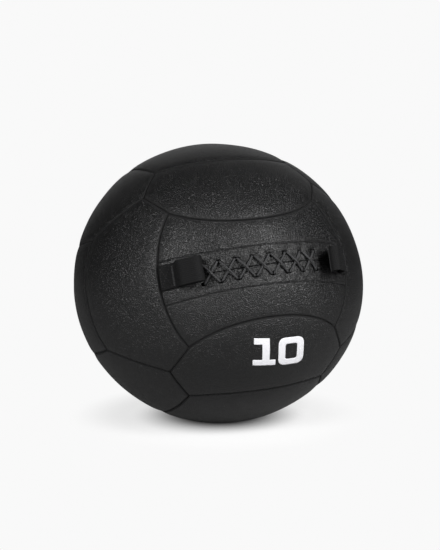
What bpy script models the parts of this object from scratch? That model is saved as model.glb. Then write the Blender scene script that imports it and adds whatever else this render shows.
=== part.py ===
"""Wall ball: a stuffed exercise ball of sewn leather panels with a laced filling slit.

Metres, +Z up. The origin is the middle of the patch that the ball rests on, and the
laced closure faces -Y. The ball has six four-sided panels, front, back, top, bottom,
left and right, and between each two of them a long six-sided panel with pointed ends.
The front panel is slit across, laced over a tongue, and has a webbing loop at each end
of the slit. Inside are a cloth bag, two layers of fibre filling and a bag of weight.
"""

import math

import bmesh
import bpy
import numpy as np
from mathutils import Matrix, Vector

# The ball as it rests, and how it is turned where it lies (degrees)
BALL_WIDTH = 0.350
BALL_HEIGHT = 0.340  # before the floor flattens it
REST_HEIGHT = 0.164  # from the floor to the ball's middle
FLOOR_EASE = 0.0015  # how gently the skin turns on to the floor
LIE_PITCH = -13.5
LIE_ROLL = -4.7

# Seam layout, as shares of a cube's half side: where the seams of a face panel meet,
# and where three long panels meet at their tips
CORNER_SHARES = {"x": (1, 0.242, 0.418), "y": (0.668, 1, 0.593), "z": (0.611, 0.602, 1)}
TIP_SHARES = (1.075, 1, 1.052)
# How far a seam bows into the first panel, away from the second, as a share of the radius
BOW_SHARES = {"yz": 0.211, "yx": -0.102, "zy": -0.119, "xy": 0.045, "zx": 0.0, "xz": 0.0}
TIP_BOW_SHARES = {"x": 0.026, "y": 0.0, "z": 0.0}
# Where a panel's rows lie from its edge to its middle, close together at the rolled edge
ROW_SHARES = (0, 0.035, 0.15, 0.325, 0.5)
BOTTOM_ROW_SHARES = (0, 0.035, 0.1, 0.18, 0.26, 0.34, 0.42, 0.5)
SEAM_STEPS = 64  # where a seam is followed finely
HALVINGS = 40  # of a seam, to find where a line meets it
SHARP_ANGLE = 35

# Leather cover
LEATHER = 0.0016
SEAM_DEPTH = 0.0035  # of the groove that a turned seam pulls in
SEAM_ROLL = 0.014  # width of the edge that rolls into the groove
SEAM_GAP = 0.0010
CLEARANCE = 0.0003  # between pieces that touch
EASE = 0.0005  # between the layers behind the closure

# Laced closure
CLOSURE_RISE = 0.0028  # of the slit's middle above the front panel's middle
CLOSURE_BEND_RADIUS = 1.6
SLIT_GAP = 0.0010
HEM_WIDTH = 0.0235  # the doubled edge of each flap
HEM_ROW_SHARES = (0, 0.5, 1)
FLAP_ROW_SHARES = (0.3, 0.6, 0.85, 1)
HOLE_ROW = 0.0111  # from the slit to the middle of the holes
HOLE_WIDTH = 0.0034
HOLE_SIDES = 12
LACE_DIAMETER = 0.0024
LACE_PITCH = 0.0196
LACE_MIDDLE = -0.0023
LACE_HOLES = 8  # in each flap
LACE_SPREAD = 0.0027  # between the two strands that share a hole
LACE_CROWN_SHARE = 0.08  # of a strand, each side of the crossing, where it lies on the other
LACE_CROWN_FALL = 0.0004
LACE_BEND_RADIUS = 0.0017
LACE_BEND_STEPS = 2
LACE_GENTLE_TURN = 20  # degrees, left as it is
LACE_TAIL = 0.008
TONGUE_THICKNESS = 0.0015
TONGUE_LENGTH = 0.190
TONGUE_WIDTH = 0.040
TONGUE_STEPS = (14, 3)

# Webbing loops
WEBBING = 0.0016
WEBBING_WIDTH = 0.028
LOOP_ROOT = 0.100  # from the middle of the closure to where a loop leaves its stitches
LOOP_LENGTH = 0.031
LOOP_FOLD_RADIUS = 0.0058  # of the webbing's middle, round the folded end
LOOP_SEWN = 0.006  # of the loop's own legs, sewn together beyond the root
LOOP_GAP = 0.0012  # between a loop's round root and the end of its anchor
LOOP_SIDES = {
    "left": {"sign": -1, "up": 0.0055, "lift": 4.0},
    "right": {"sign": 1, "up": -0.002, "lift": 18.0},
}
ANCHOR_SEAM_MARGIN = 0.002
ANCHOR_STEPS = (4, 3)
BELT_STEPS = 10

# Inside
BAG_THICKNESS = 0.001
BAG_SEGMENTS = 20
BAG_RINGS = 12
BAG_MOUTH_SHARES = (0.45, 0.24)  # half the mouth's length and height, of the radius
WEIGHT_BAG_DIAMETER = 0.130
WEIGHT_BAG_SEGMENTS = 14
WEIGHT_BAG_RINGS = 8

RADIUS = BALL_WIDTH / 2
HALF_SIZES = np.array([BALL_WIDTH, BALL_WIDTH, BALL_HEIGHT]) / 2
LIE = np.array(
    Matrix.Rotation(math.radians(LIE_PITCH), 3, "X")
    @ Matrix.Rotation(math.radians(LIE_ROLL), 3, "Y")
)
HEM = 2 * LEATHER
TONGUE_DEPTH = HEM + 2 * LACE_DIAMETER + CLEARANCE + 2 * EASE
BAG_DEPTH = TONGUE_DEPTH + TONGUE_THICKNESS + EASE
SEAM_ALLOWANCE = BAG_DEPTH - EASE - SEAM_DEPTH
ROOT_RADIUS = WEBBING
AXIS = {"x": np.array([1.0, 0, 0]), "y": np.array([0, 1.0, 0]), "z": np.array([0, 0, 1.0])}


def clear_scene():
    for old in list(bpy.data.objects):
        bpy.data.objects.remove(old, do_unlink=True)


def collection(name):
    made = bpy.data.collections.new(name)
    bpy.context.scene.collection.children.link(made)
    return made


clear_scene()
BALL = collection("wall_ball")
CUTTERS = collection("cutters")


# Materials


def material(name, colour, roughness, metallic=0.0):
    made = bpy.data.materials.new(name)
    made.use_nodes = True
    shader = made.node_tree.nodes["Principled BSDF"]
    shader.inputs["Base Color"].default_value = (*colour, 1)
    shader.inputs["Roughness"].default_value = roughness
    shader.inputs["Metallic"].default_value = metallic
    return made


COVER_LEATHER = material("cover_leather", (0.030, 0.030, 0.033), 0.55)
TONGUE_LEATHER = material("tongue_leather", (0.035, 0.035, 0.038), 0.65)
LACE_CORD = material("lace_cord", (0.040, 0.040, 0.043), 0.60)
LOOP_WEBBING = material("loop_webbing", (0.010, 0.010, 0.011), 0.75)
BAG_CLOTH = material("bag_cloth", (0.55, 0.55, 0.52), 0.85)
FIBRE = material("fibre", (0.42, 0.40, 0.38), 0.95)
WEIGHT_CLOTH = material("weight_cloth", (0.10, 0.11, 0.13), 0.85)


# The ball's surface


def unit(vector):
    return vector / np.linalg.norm(vector, axis=-1, keepdims=True)


def pressed(height, lowest):
    """Heights above the floor, where what would be below the lowest lies flat on it."""
    over = np.clip(height - lowest, -FLOOR_EASE, FLOOR_EASE)
    eased = lowest + (over + FLOOR_EASE) ** 2 / (4 * FLOOR_EASE)
    return np.where(height - lowest < FLOOR_EASE, eased, height)


def skin(direction, depth=0.0):
    """The point that lies depth under the skin, in a direction in the ball's own axes."""
    turned = unit(direction) @ LIE.T
    depth = np.broadcast_to(depth, turned.shape[:-1])
    point = turned * HALF_SIZES - unit(turned / HALF_SIZES) * depth[..., None]
    point[..., 2] = pressed(point[..., 2] + REST_HEIGHT, depth)
    return point


# Seams


def corner(face, signs):
    return unit(np.array(CORNER_SHARES[face]) * signs)


def seam(start, end, bow, toward):
    """A seam as a function of the share of its length, bowed toward a direction."""
    middle = unit(start + end)
    aside = unit(toward - (toward @ middle) * middle)

    def along(share):
        share = np.asarray(share, dtype=float)[..., None]
        straight = unit(start * (1 - share) + end * share)
        return unit(straight + bow * 4 * share * (1 - share) * aside)

    return along


def signs_of(**known):
    return np.array([known["x"], known["y"], known["z"]])


def face_seam(face, face_sign, other, other_sign):
    """The seam of a face panel on its side toward another face."""
    free = ({"x", "y", "z"} - {face, other}).pop()
    ends = [signs_of(**{face: face_sign, other: other_sign, free: s}) for s in (-1, 1)]
    start, end = (corner(face, signs) for signs in ends)
    return seam(start, end, BOW_SHARES[face + other], -other_sign * AXIS[other])


def tip_seam(face, signs):
    """The seam from a face panel's corner out to the tip where three long panels meet."""
    tip = unit(np.array(TIP_SHARES) * signs)
    away = -signs[2] * AXIS["z"] if face != "z" else -signs[0] * AXIS["x"]
    return seam(corner(face, signs), tip, TIP_BOW_SHARES[face], away)


def pointed_end(first, second, signs):
    """The end of a long panel, out from one face's corner to the tip and back in."""
    out, back = tip_seam(first, signs), tip_seam(second, signs)

    def along(share):
        share = np.asarray(share, dtype=float)
        outward = out(np.clip(2 * share, 0, 1))
        inward = back(np.clip(2 - 2 * share, 0, 1))
        return np.where((share < 0.5)[..., None], outward, inward)

    return along


def patch(bottom, top, left, right, columns, rows):
    """Directions over the panel that four sides bound, one row after another."""
    u, v = np.meshgrid(columns, rows)
    u, v = u[..., None], v[..., None]
    across = bottom(u[..., 0]) * (1 - v) + top(u[..., 0]) * v
    upward = left(v[..., 0]) * (1 - u) + right(v[..., 0]) * u
    low = bottom(0) * (1 - u) + bottom(1) * u
    high = top(0) * (1 - u) + top(1) * u
    return unit(across + upward - low * (1 - v) - high * v)


# Leather panels


def distance_to(points, border):
    """How far each point is from a border of straight stretches."""
    starts, ends = border[:-1], border[1:]
    runs = ends - starts
    from_start = points[..., None, :] - starts
    share = (from_start * runs).sum(-1) / (runs * runs).sum(-1)
    nearest = starts + np.clip(share, 0, 1)[..., None] * runs
    return np.linalg.norm(points[..., None, :] - nearest, axis=-1).min(-1)


def place_in(home, obj, surface):
    home.objects.link(obj)
    if surface:
        obj.data.materials.append(surface)
    return obj


def mesh_object(name, work, home, surface=None):
    data = bpy.data.meshes.new(name)
    work.to_mesh(data)
    work.free()
    data.shade_smooth()
    data.set_sharp_from_angle(angle=math.radians(SHARP_ANGLE))
    return place_in(home, bpy.data.objects.new(name, data), surface)


def shell(obj, thickness, group="", side=-1):
    """Gives a surface its wall, on its inner side or, where side is 1, on its outer."""
    wall = obj.modifiers.new("wall", "SOLIDIFY")
    wall.thickness = thickness
    wall.offset = side
    wall.use_even_offset = True
    wall.use_quality_normals = True
    if group:
        wall.vertex_group = group
    return wall


def turn_outward(work, middle):
    """Winds every face the same way, with the one nearest the middle facing outwards."""
    bmesh.ops.recalc_face_normals(work, faces=work.faces)
    near = min(work.faces, key=lambda f: (f.calc_center_median() - middle).length)
    if near.normal.dot(middle - Vector((0, 0, REST_HEIGHT))) < 0:
        bmesh.ops.reverse_faces(work, faces=work.faces)


def leather(name, directions, hem_rows=0):
    """A panel over a grid of directions, with rolled edges and turned seam allowances.

    Every side is sewn but the first row of a flap, which is its side of the slit. The
    rows next to the slit are the hem, of doubled leather.
    """
    rows, columns = directions.shape[:2]
    slit = hem_rows > 0
    surface = skin(directions)
    sewn_round = [surface[:, -1], surface[-1, -2::-1], surface[-2::-1, 0]]
    if not slit:
        sewn_round.append(surface[0, 1:])
    from_seam = distance_to(surface, np.concatenate(sewn_round))
    roll = SEAM_DEPTH * np.clip(1 - from_seam / SEAM_ROLL, 0, 1) ** 2

    # Each edge is drawn in from its seam line by half the gap, toward the next row
    row, column = np.mgrid[:rows, :columns]
    inner_row = np.clip(row, 0 if slit else 1, rows - 2)
    inner_column = np.clip(column, 1, columns - 2)
    inward = surface[inner_row, inner_column] - surface
    length = np.linalg.norm(inward, axis=-1, keepdims=True)
    draw = SEAM_GAP / 2 * np.divide(inward, length, out=0 * inward, where=length > 0)
    outer = skin(directions, roll) + draw
    allowance = skin(directions, roll + SEAM_ALLOWANCE) + draw

    work = bmesh.new()
    bmesh.ops.create_grid(work, x_segments=columns - 1, y_segments=rows - 1, size=0.5)
    sewn = [edge for edge in work.edges if edge.is_boundary]
    if slit:
        lip = min(vert.co.y for vert in work.verts)
        sewn = [edge for edge in sewn if any(vert.co.y > lip for vert in edge.verts)]
    turned = bmesh.ops.extrude_edge_only(work, edges=sewn)["geom"]
    turned = {item for item in turned if isinstance(item, bmesh.types.BMVert)}
    hem = []
    for index, vert in enumerate(work.verts):
        i = round((vert.co.y + 0.5) * (rows - 1))
        j = round((vert.co.x + 0.5) * (columns - 1))
        vert.co = allowance[i, j] if vert in turned else outer[i, j]
        if i < hem_rows:
            hem.append(index)
    turn_outward(work, Vector(surface[rows // 2, columns // 2]))
    panel = mesh_object(name, work, BALL, COVER_LEATHER)
    if hem_rows:
        weights = panel.vertex_groups.new(name="layers")
        weights.add(range(len(panel.data.vertices)), LEATHER / HEM, "REPLACE")
        weights.add(hem, 1, "REPLACE")
        shell(panel, HEM, "layers")
    else:
        shell(panel, LEATHER)
    return panel


def both_ways(shares):
    """Row places from one edge to the other, closest together at both edges."""
    return np.array([*shares, *(1 - share for share in shares[-2::-1])])


PANEL_ROWS = both_ways(ROW_SHARES)
FACE_NAMES = {
    ("y", 1): "back",
    ("z", 1): "top",
    ("z", -1): "bottom",
    ("x", -1): "left",
    ("x", 1): "right",
}
LONG_NAMES = {
    ("y", -1, "z", 1): "top_front",
    ("y", -1, "z", -1): "bottom_front",
    ("y", -1, "x", -1): "left_front",
    ("y", -1, "x", 1): "right_front",
    ("y", 1, "z", 1): "top_back",
    ("y", 1, "z", -1): "bottom_back",
    ("y", 1, "x", -1): "left_back",
    ("y", 1, "x", 1): "right_back",
    ("z", 1, "x", -1): "top_left",
    ("z", 1, "x", 1): "top_right",
    ("z", -1, "x", -1): "bottom_left",
    ("z", -1, "x", 1): "bottom_right",
}


def face_panel(face, sign, name):
    across, up = sorted({"x", "y", "z"} - {face})
    sides = [face_seam(face, sign, up, s) for s in (-1, 1)]
    sides += [face_seam(face, sign, across, s) for s in (-1, 1)]
    rows = both_ways(BOTTOM_ROW_SHARES) if name == "bottom" else PANEL_ROWS
    return leather(f"panel_{name}", patch(*sides, rows, rows))


def long_panel(face, sign, other, other_sign, name):
    free = ({"x", "y", "z"} - {face, other}).pop()
    sides = [face_seam(face, sign, other, other_sign), face_seam(other, other_sign, face, sign)]
    for s in (-1, 1):
        signs = signs_of(**{face: sign, other: other_sign, free: s})
        sides.append(pointed_end(face, other, signs))
    return leather(f"panel_{name}", patch(*sides, PANEL_ROWS, PANEL_ROWS))


for place, name in FACE_NAMES.items():
    face_panel(*place, name)
for place, name in LONG_NAMES.items():
    long_panel(*place, name)


# The front panel's two flaps and their lace holes


def closure_height(along):
    return CLOSURE_RISE - along**2 / (2 * CLOSURE_BEND_RADIUS)


def closure(along, up):
    """The direction of a place on the front, along the slit from its middle and up from it."""
    along, up = np.broadcast_arrays(np.asarray(along, dtype=float), up)
    level = (closure_height(along) + up) / RADIUS
    flat = np.sqrt(1 - level**2)
    turn = along / RADIUS
    return np.stack([np.sin(turn) * flat, -np.cos(turn) * flat, level], axis=-1)


def meeting(side_seam, up):
    """Where a side seam of the front crosses a line above the slit: its share, and along."""
    low, high = 0.0, 1.0
    for halving in range(HALVINGS):
        share = (low + high) / 2
        x, y, z = side_seam(share)
        along = math.atan2(x, -y) * RADIUS
        low, high = (share, high) if z * RADIUS < closure_height(along) + up else (low, share)
    return share, along


FRONT_LEFT = face_seam("y", -1, "x", -1)
FRONT_RIGHT = face_seam("y", -1, "x", 1)


def line_above(up):
    """The line at one height above the slit, from side seam to side seam."""
    start, end = meeting(FRONT_LEFT, up)[1], meeting(FRONT_RIGHT, up)[1]
    return lambda share: closure(start + (end - start) * np.asarray(share), up)


def part_of(side_seam, start, end):
    return lambda share: side_seam(start + (end - start) * np.asarray(share))


def closure_flap(name, sign):
    """The flap above the slit, or below it where the sign is -1."""
    last = len(PANEL_ROWS) - 1
    columns = np.interp(np.arange(2 * last + 1) / 2, np.arange(last + 1), PANEL_ROWS)
    slit, hem_edge = SLIT_GAP / 2, HEM_WIDTH
    hem = [line_above(sign * (slit + (hem_edge - slit) * s))(columns) for s in HEM_ROW_SHARES]
    edges = [
        part_of(side, meeting(side, sign * hem_edge)[0], (sign + 1) / 2)
        for side in (FRONT_LEFT, FRONT_RIGHT)
    ]
    far_seam = face_seam("y", -1, "z", sign)
    rest = patch(line_above(sign * hem_edge), far_seam, *edges, columns, FLAP_ROW_SHARES)
    return leather(name, np.concatenate([hem, rest]), hem_rows=len(hem))


def lace_place(index):
    return LACE_MIDDLE + (index - (LACE_HOLES - 1) / 2) * LACE_PITCH


def lace_point(index, sign, half, depth):
    """A place in a hole above or below the slit, in its left half (-1) or its right half."""
    along = lace_place(index) + half * LACE_SPREAD / 2
    return Vector(skin(closure(along, sign * HOLE_ROW), depth))


def punch(flap, sign):
    """Punches a row of holes through a flap's hem, each long enough for two strands."""
    work = bmesh.new()
    for index in range(LACE_HOLES):
        out, deep = lace_point(index, sign, 0, -HEM), lace_point(index, sign, 0, 2 * HEM)
        down = (out - deep).normalized()
        along = lace_point(index, sign, 1, 0) - lace_point(index, sign, -1, 0)
        side = down.cross(along).normalized()
        turn = Matrix((side.cross(down), side, down)).transposed()
        made = bmesh.ops.create_cone(
            work,
            cap_ends=True,
            segments=HOLE_SIDES,
            radius1=HOLE_WIDTH / 2,
            radius2=HOLE_WIDTH / 2,
            depth=(out - deep).length,
            matrix=Matrix.Rotation(math.pi / HOLE_SIDES, 4, "Z"),
        )
        for vert in made["verts"]:
            vert.co.x += math.copysign(LACE_SPREAD / 2, vert.co.x)
            vert.co = (out + deep) / 2 + turn @ vert.co
    cutter = mesh_object(f"{flap.name}_holes", work, CUTTERS)
    cut(flap, cutter)


def cut(obj, cutter):
    cutter.hide_render = True
    cutter.display_type = "WIRE"
    away = obj.modifiers.new("cut", "BOOLEAN")
    away.operation = "DIFFERENCE"
    away.object = cutter


punch(closure_flap("closure_flap_upper", 1), 1)
punch(closure_flap("closure_flap_lower", -1), -1)


# Tongue behind the lacing


def strip(name, start, end, low, high, steps, depth, thickness, surface):
    """A strip whose lower face follows the front's skin, between two places on it."""
    work = bmesh.new()
    bmesh.ops.create_grid(work, x_segments=steps[0], y_segments=steps[1], size=0.5)
    sides = np.linspace(0, 1, SEAM_STEPS + 1)
    border = skin(np.concatenate([FRONT_LEFT(sides), FRONT_RIGHT(sides[::-1])]))
    for vert in work.verts:
        along = start + (end - start) * (vert.co.x + 0.5)
        here = closure(along, low + (high - low) * (vert.co.y + 0.5))
        from_seam = distance_to(skin(here), border)
        roll = SEAM_DEPTH * max(0, 1 - from_seam / SEAM_ROLL) ** 2
        vert.co = skin(here, roll + depth)
    turn_outward(work, Vector(skin(closure((start + end) / 2, (low + high) / 2))))
    made = mesh_object(name, work, BALL, surface)
    shell(made, thickness, side=1)
    return made


strip(
    "closure_tongue",
    LACE_MIDDLE - TONGUE_LENGTH / 2,
    LACE_MIDDLE + TONGUE_LENGTH / 2,
    -TONGUE_WIDTH / 2,
    TONGUE_WIDTH / 2,
    TONGUE_STEPS,
    TONGUE_DEPTH + TONGUE_THICKNESS,
    TONGUE_THICKNESS,
    TONGUE_LEATHER,
)


# Lace


def rounded(corners):
    """The route through the corners, with every sharp corner turned on an arc."""
    route = [corners[0]]
    for before, here, after in zip(corners, corners[1:], corners[2:]):
        back, onward = (before - here).normalized(), (after - here).normalized()
        turn = math.pi - back.angle(onward)
        if turn < math.radians(LACE_GENTLE_TURN):
            route.append(here)
            continue
        radius = LACE_BEND_RADIUS
        centre = here + (back + onward).normalized() * radius / math.cos(turn / 2)
        start = here + back * radius * math.tan(turn / 2)
        for step in range(LACE_BEND_STEPS + 1):
            angle = turn * step / LACE_BEND_STEPS
            spoke = (start - centre) * math.cos(angle) - back * radius * math.sin(angle)
            route.append(centre + spoke)
    return route + [corners[-1]]


OVER = -(CLEARANCE + LACE_DIAMETER / 2)
UNDER = HEM + EASE + LACE_DIAMETER / 2
DEEPER = UNDER + LACE_DIAMETER + CLEARANCE
CROWN = OVER - LACE_DIAMETER - CLEARANCE
CROWN_END = CROWN + LACE_CROWN_FALL
# Places along a strand on the flaps, as shares of its length, and their depths
LYING = ((0, OVER), (0.5, OVER), (1, OVER))
CROSSING = (
    (0, OVER),
    (0.5 - LACE_CROWN_SHARE, CROWN_END),
    (0.5, CROWN),
    (0.5 + LACE_CROWN_SHARE, CROWN_END),
    (1, OVER),
)


def strand(index, sign, places):
    """A strand from the right half of one hole to the left half of the next one opposite."""
    start = lace_place(index) + LACE_SPREAD / 2
    end = lace_place(index + 1) - LACE_SPREAD / 2
    points = []
    for share, depth in places:
        here = closure(start + (end - start) * share, sign * HOLE_ROW * (1 - 2 * share))
        points.append(Vector(skin(here, depth)))
    return points


def beneath(index, halves, depth):
    """A strand beneath the flaps, from a hole above the slit to the one below it."""
    middle = closure(lace_place(index) + sum(halves) / 2 * LACE_SPREAD / 2, 0)
    return [
        lace_point(index, 1, halves[0], depth),
        Vector(skin(middle, depth)),
        lace_point(index, -1, halves[1], depth),
    ]


def tail(sign):
    """A lace end beneath the first hole, from the hole to where it is cut."""
    cut_end = closure(lace_place(0) + LACE_SPREAD / 2, sign * (HOLE_ROW - LACE_TAIL))
    return [lace_point(0, sign, 1, UNDER), Vector(skin(cut_end, UNDER))]


def lace_route():
    """Every rising strand in one pass to the right, then every falling one back over them."""
    last = LACE_HOLES - 1
    rising, falling = [], []
    for index in range(last):
        rising += strand(index, -1, LYING)
        falling += strand(index, 1, CROSSING)
        if index + 1 < last:
            rising += beneath(index + 1, (-1, 1), DEEPER)
            falling += beneath(index + 1, (1, -1), UNDER)[::-1]
    turn = beneath(last, (-1, -1), UNDER)
    return rounded(tail(-1)[::-1] + rising + turn + falling[::-1] + tail(1))


def cord(name, route, diameter, surface):
    data = bpy.data.curves.new(name, "CURVE")
    data.dimensions = "3D"
    data.bevel_depth = diameter / 2
    data.bevel_resolution = 2
    data.use_fill_caps = True
    line = data.splines.new("POLY")
    line.points.add(len(route) - 1)
    for point, place in zip(line.points, route):
        point.co = (*place, 1)
    return place_in(BALL, bpy.data.objects.new(name, data), surface)


cord("lace", lace_route(), LACE_DIAMETER, LACE_CORD)


# Webbing loops and their stitched ends


def loop_frame(side):
    """The frame at a loop's root: X to the middle of the front, Y outward, and the axis Z."""
    along, up = side["sign"] * LOOP_ROOT, side["up"]
    height = -(CLEARANCE + ROOT_RADIUS)
    here = skin(closure(along, up), height)
    nearer = skin(closure(along - side["sign"] * WEBBING, up), height)
    low, high = (skin(closure(along, up + s * WEBBING_WIDTH / 2), height) for s in (-1, 1))
    inward = Vector(nearer - here).normalized()
    across = Vector(high - low)
    across = (across - across.dot(inward) * inward).normalized()
    outward = inward.cross(across) * -side["sign"]
    axis = inward.cross(outward)
    turn = Matrix((inward, outward, axis)).transposed().to_4x4()
    lift = Matrix.Rotation(math.radians(side["lift"]), 4, "Z")
    return Matrix.Translation(here) @ turn @ lift


def belt(centre, radius, far_centre, far_radius):
    """The outline of a belt drawn tight round two circles."""
    apart = far_centre - centre
    heading = math.atan2(apart.y, apart.x)
    half = math.acos((radius - far_radius) / apart.length)
    points = []
    for middle, size, start, end in (
        (far_centre, far_radius, -half, half),
        (centre, radius, half, 2 * math.pi - half),
    ):
        for step in range(BELT_STEPS + 1):
            angle = heading + start + (end - start) * step / BELT_STEPS
            points.append(middle + Vector((math.cos(angle), math.sin(angle))) * size)
    return points


def webbing_loop(name, side):
    """Webbing doubled back on itself, open for a finger between the legs."""
    fold_outside = LOOP_FOLD_RADIUS + WEBBING / 2
    fold = Vector((LOOP_LENGTH - fold_outside, fold_outside - ROOT_RADIUS + CLEARANCE))
    sewn_end = fold.normalized() * LOOP_SEWN
    outlines = [
        belt(Vector((0, 0)), ROOT_RADIUS, fold, fold_outside),
        belt(sewn_end, CLEARANCE, fold, LOOP_FOLD_RADIUS - WEBBING / 2),
    ]
    data = bpy.data.curves.new(name, "CURVE")
    data.dimensions = "2D"
    data.fill_mode = "BOTH"
    data.extrude = WEBBING_WIDTH / 2
    for outline in outlines:
        line = data.splines.new("POLY")
        line.points.add(len(outline) - 1)
        line.use_cyclic_u = True
        for point, place in zip(line.points, outline):
            point.co = (*place, 0, 1)
    loop = place_in(BALL, bpy.data.objects.new(name, data), LOOP_WEBBING)
    loop.matrix_world = loop_frame(side)
    return loop


def loop_anchor(name, side):
    """The two legs of the webbing stitched flat to the flaps, out to the side seam."""
    seam_line = FRONT_LEFT if side["sign"] < 0 else FRONT_RIGHT
    outer_end = abs(meeting(seam_line, side["up"])[1]) - ANCHOR_SEAM_MARGIN
    inner_end = LOOP_ROOT + ROOT_RADIUS + LOOP_GAP
    ends = [side["sign"] * end for end in (inner_end, outer_end)]
    low, high = side["up"] - WEBBING_WIDTH / 2, side["up"] + WEBBING_WIDTH / 2
    return strip(name, *ends, low, high, ANCHOR_STEPS, -CLEARANCE, 2 * WEBBING, LOOP_WEBBING)


for word, side in LOOP_SIDES.items():
    loop_anchor(f"{word}_loop_anchor", side)
    webbing_loop(f"{word}_loop", side)


# Inner bag, filling and weight


def inner_ball(name, depth, home, surface=None):
    """A closed ball that lies depth under the skin all round."""
    work = bmesh.new()
    bmesh.ops.create_uvsphere(work, u_segments=BAG_SEGMENTS, v_segments=BAG_RINGS, radius=1)
    for vert in work.verts:
        vert.co = skin(np.array(vert.co), depth)
    return mesh_object(name, work, home, surface)


def inner_bag():
    """A cloth bag with its filling mouth behind the slit."""
    work = bmesh.new()
    bmesh.ops.create_uvsphere(work, u_segments=BAG_SEGMENTS, v_segments=BAG_RINGS, radius=1)
    half_length, half_height = BAG_MOUTH_SHARES
    mouth = []
    for face in work.faces:
        middle = face.calc_center_median()
        in_mouth = abs(middle.x) < half_length and abs(middle.z) < half_height
        if in_mouth and middle.y < 0:
            mouth.append(face)
    bmesh.ops.delete(work, geom=mouth, context="FACES")
    for vert in work.verts:
        vert.co = skin(np.array(vert.co), BAG_DEPTH)
    bag = mesh_object("inner_bag", work, BALL, BAG_CLOTH)
    shell(bag, BAG_THICKNESS)


def filling(name, sign, core):
    """One layer of the fibre, packed in the bag below or above the bag of weight."""
    depth = BAG_DEPTH + BAG_THICKNESS + EASE
    layer = inner_ball(name, depth, BALL, FIBRE)
    work = bmesh.new()
    work.from_mesh(layer.data)
    plane = (0, 0, REST_HEIGHT + sign * EASE / 2)
    bmesh.ops.bisect_plane(
        work,
        geom=[*work.verts, *work.edges, *work.faces],
        plane_co=plane,
        plane_no=(0, 0, -sign),
        clear_outer=True,
    )
    bmesh.ops.holes_fill(work, edges=[edge for edge in work.edges if edge.is_boundary])
    bmesh.ops.recalc_face_normals(work, faces=work.faces)
    work.to_mesh(layer.data)
    work.free()
    cut(layer, core)


def weight_ball(name, diameter, home, surface=None):
    work = bmesh.new()
    bmesh.ops.create_uvsphere(
        work,
        u_segments=WEIGHT_BAG_SEGMENTS,
        v_segments=WEIGHT_BAG_RINGS,
        radius=diameter / 2,
        matrix=Matrix.Translation((0, 0, REST_HEIGHT)),
    )
    return mesh_object(name, work, home, surface)


inner_bag()
core = weight_ball("weight_space", WEIGHT_BAG_DIAMETER + 2 * EASE, CUTTERS)
filling("filling_lower", -1, core)
filling("filling_upper", 1, core)
weight_ball("weight_bag", WEIGHT_BAG_DIAMETER, BALL, WEIGHT_CLOTH)
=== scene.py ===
"""Wall ball: the looks of the ball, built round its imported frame.

Metres, +Z up, in the frame's own coordinates. Each section makes one piece, or one group
of like pieces, in the order in which the ball is sewn, filled, laced and finished.
"""

import math
from itertools import combinations

import bmesh
import bpy
import numpy as np
from mathutils import Matrix, Vector


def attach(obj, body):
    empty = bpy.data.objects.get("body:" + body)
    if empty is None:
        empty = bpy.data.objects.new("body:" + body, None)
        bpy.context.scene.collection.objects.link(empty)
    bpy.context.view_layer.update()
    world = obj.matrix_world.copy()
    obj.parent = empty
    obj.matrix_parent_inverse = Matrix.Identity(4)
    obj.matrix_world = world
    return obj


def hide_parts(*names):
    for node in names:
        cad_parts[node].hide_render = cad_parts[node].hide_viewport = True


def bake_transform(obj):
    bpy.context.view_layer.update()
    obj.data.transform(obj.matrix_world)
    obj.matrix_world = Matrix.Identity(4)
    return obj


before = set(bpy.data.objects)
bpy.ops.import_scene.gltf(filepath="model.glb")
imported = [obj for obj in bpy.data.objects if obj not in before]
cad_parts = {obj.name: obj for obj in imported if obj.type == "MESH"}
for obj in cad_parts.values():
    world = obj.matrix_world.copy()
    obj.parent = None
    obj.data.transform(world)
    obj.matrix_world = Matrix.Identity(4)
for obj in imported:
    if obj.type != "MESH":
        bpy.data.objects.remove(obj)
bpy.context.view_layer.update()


# The camera stands a little to the ball's left and above its middle, with a long lens.
# The small shift puts the ball where the photograph has it, left of and below the middle.

BALL_MIDDLE = Vector((0, 0, 0.164))
CAMERA = {"azimuth": -17.6, "elevation": 8, "distance": 1.62}
LENS = 87.7
LENS_SHIFT = (0.00245, 0.01284)


def toward_ball(azimuth, elevation, distance):
    """Where a camera or a lamp stands, at angles in degrees, turned to the ball."""
    azimuth, elevation = math.radians(azimuth), math.radians(elevation)
    level = math.cos(elevation)
    away = Vector((math.sin(azimuth) * level, -math.cos(azimuth) * level, math.sin(elevation)))
    turn = away.to_track_quat("Z", "Y").to_euler()
    return {"location": BALL_MIDDLE + away * distance, "rotation": turn}


bpy.ops.object.camera_add(**toward_ball(**CAMERA))
camera = bpy.context.object
camera.data.lens = LENS
camera.data.shift_x, camera.data.shift_y = LENS_SHIFT
bpy.context.scene.camera = camera
bpy.context.scene.view_settings.view_transform = "Standard"


# The white sweep that the ball stands on. Near the ball it is a matt white floor, which
# holds the ball's soft shadow. A glow lifts it to the white of the backdrop and fades out
# close to the ball, which paints a dark contact shadow there. Further out it turns to the
# plain white of the backdrop.

FLOOR_SIZE = 12
FLOOR_WHITE = 0.38
FLOOR_GLOW = 0.66  # lifts the lit floor to the white of the backdrop
BACKDROP_WHITE = 0.947
# Within this reach the glow fades out toward the ball: a painted contact shadow.
CONTACT_REACH = (0.035, 0.11)  # from the ball's middle, over which the glow comes up
SHADOW_REACH = (0.115, 0.185)  # from the ball's middle, where the floor turns plain white
GLOSS_SHARE = 0.035  # of the glow and the plain white, in what the ball reflects


def arithmetic(operation):
    """The two operators that add a Math node: with the link first, and with it second."""
    return (
        lambda link, other: link.maths(operation, link, other),
        lambda link, other: link.maths(operation, other, link),
    )


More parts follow.
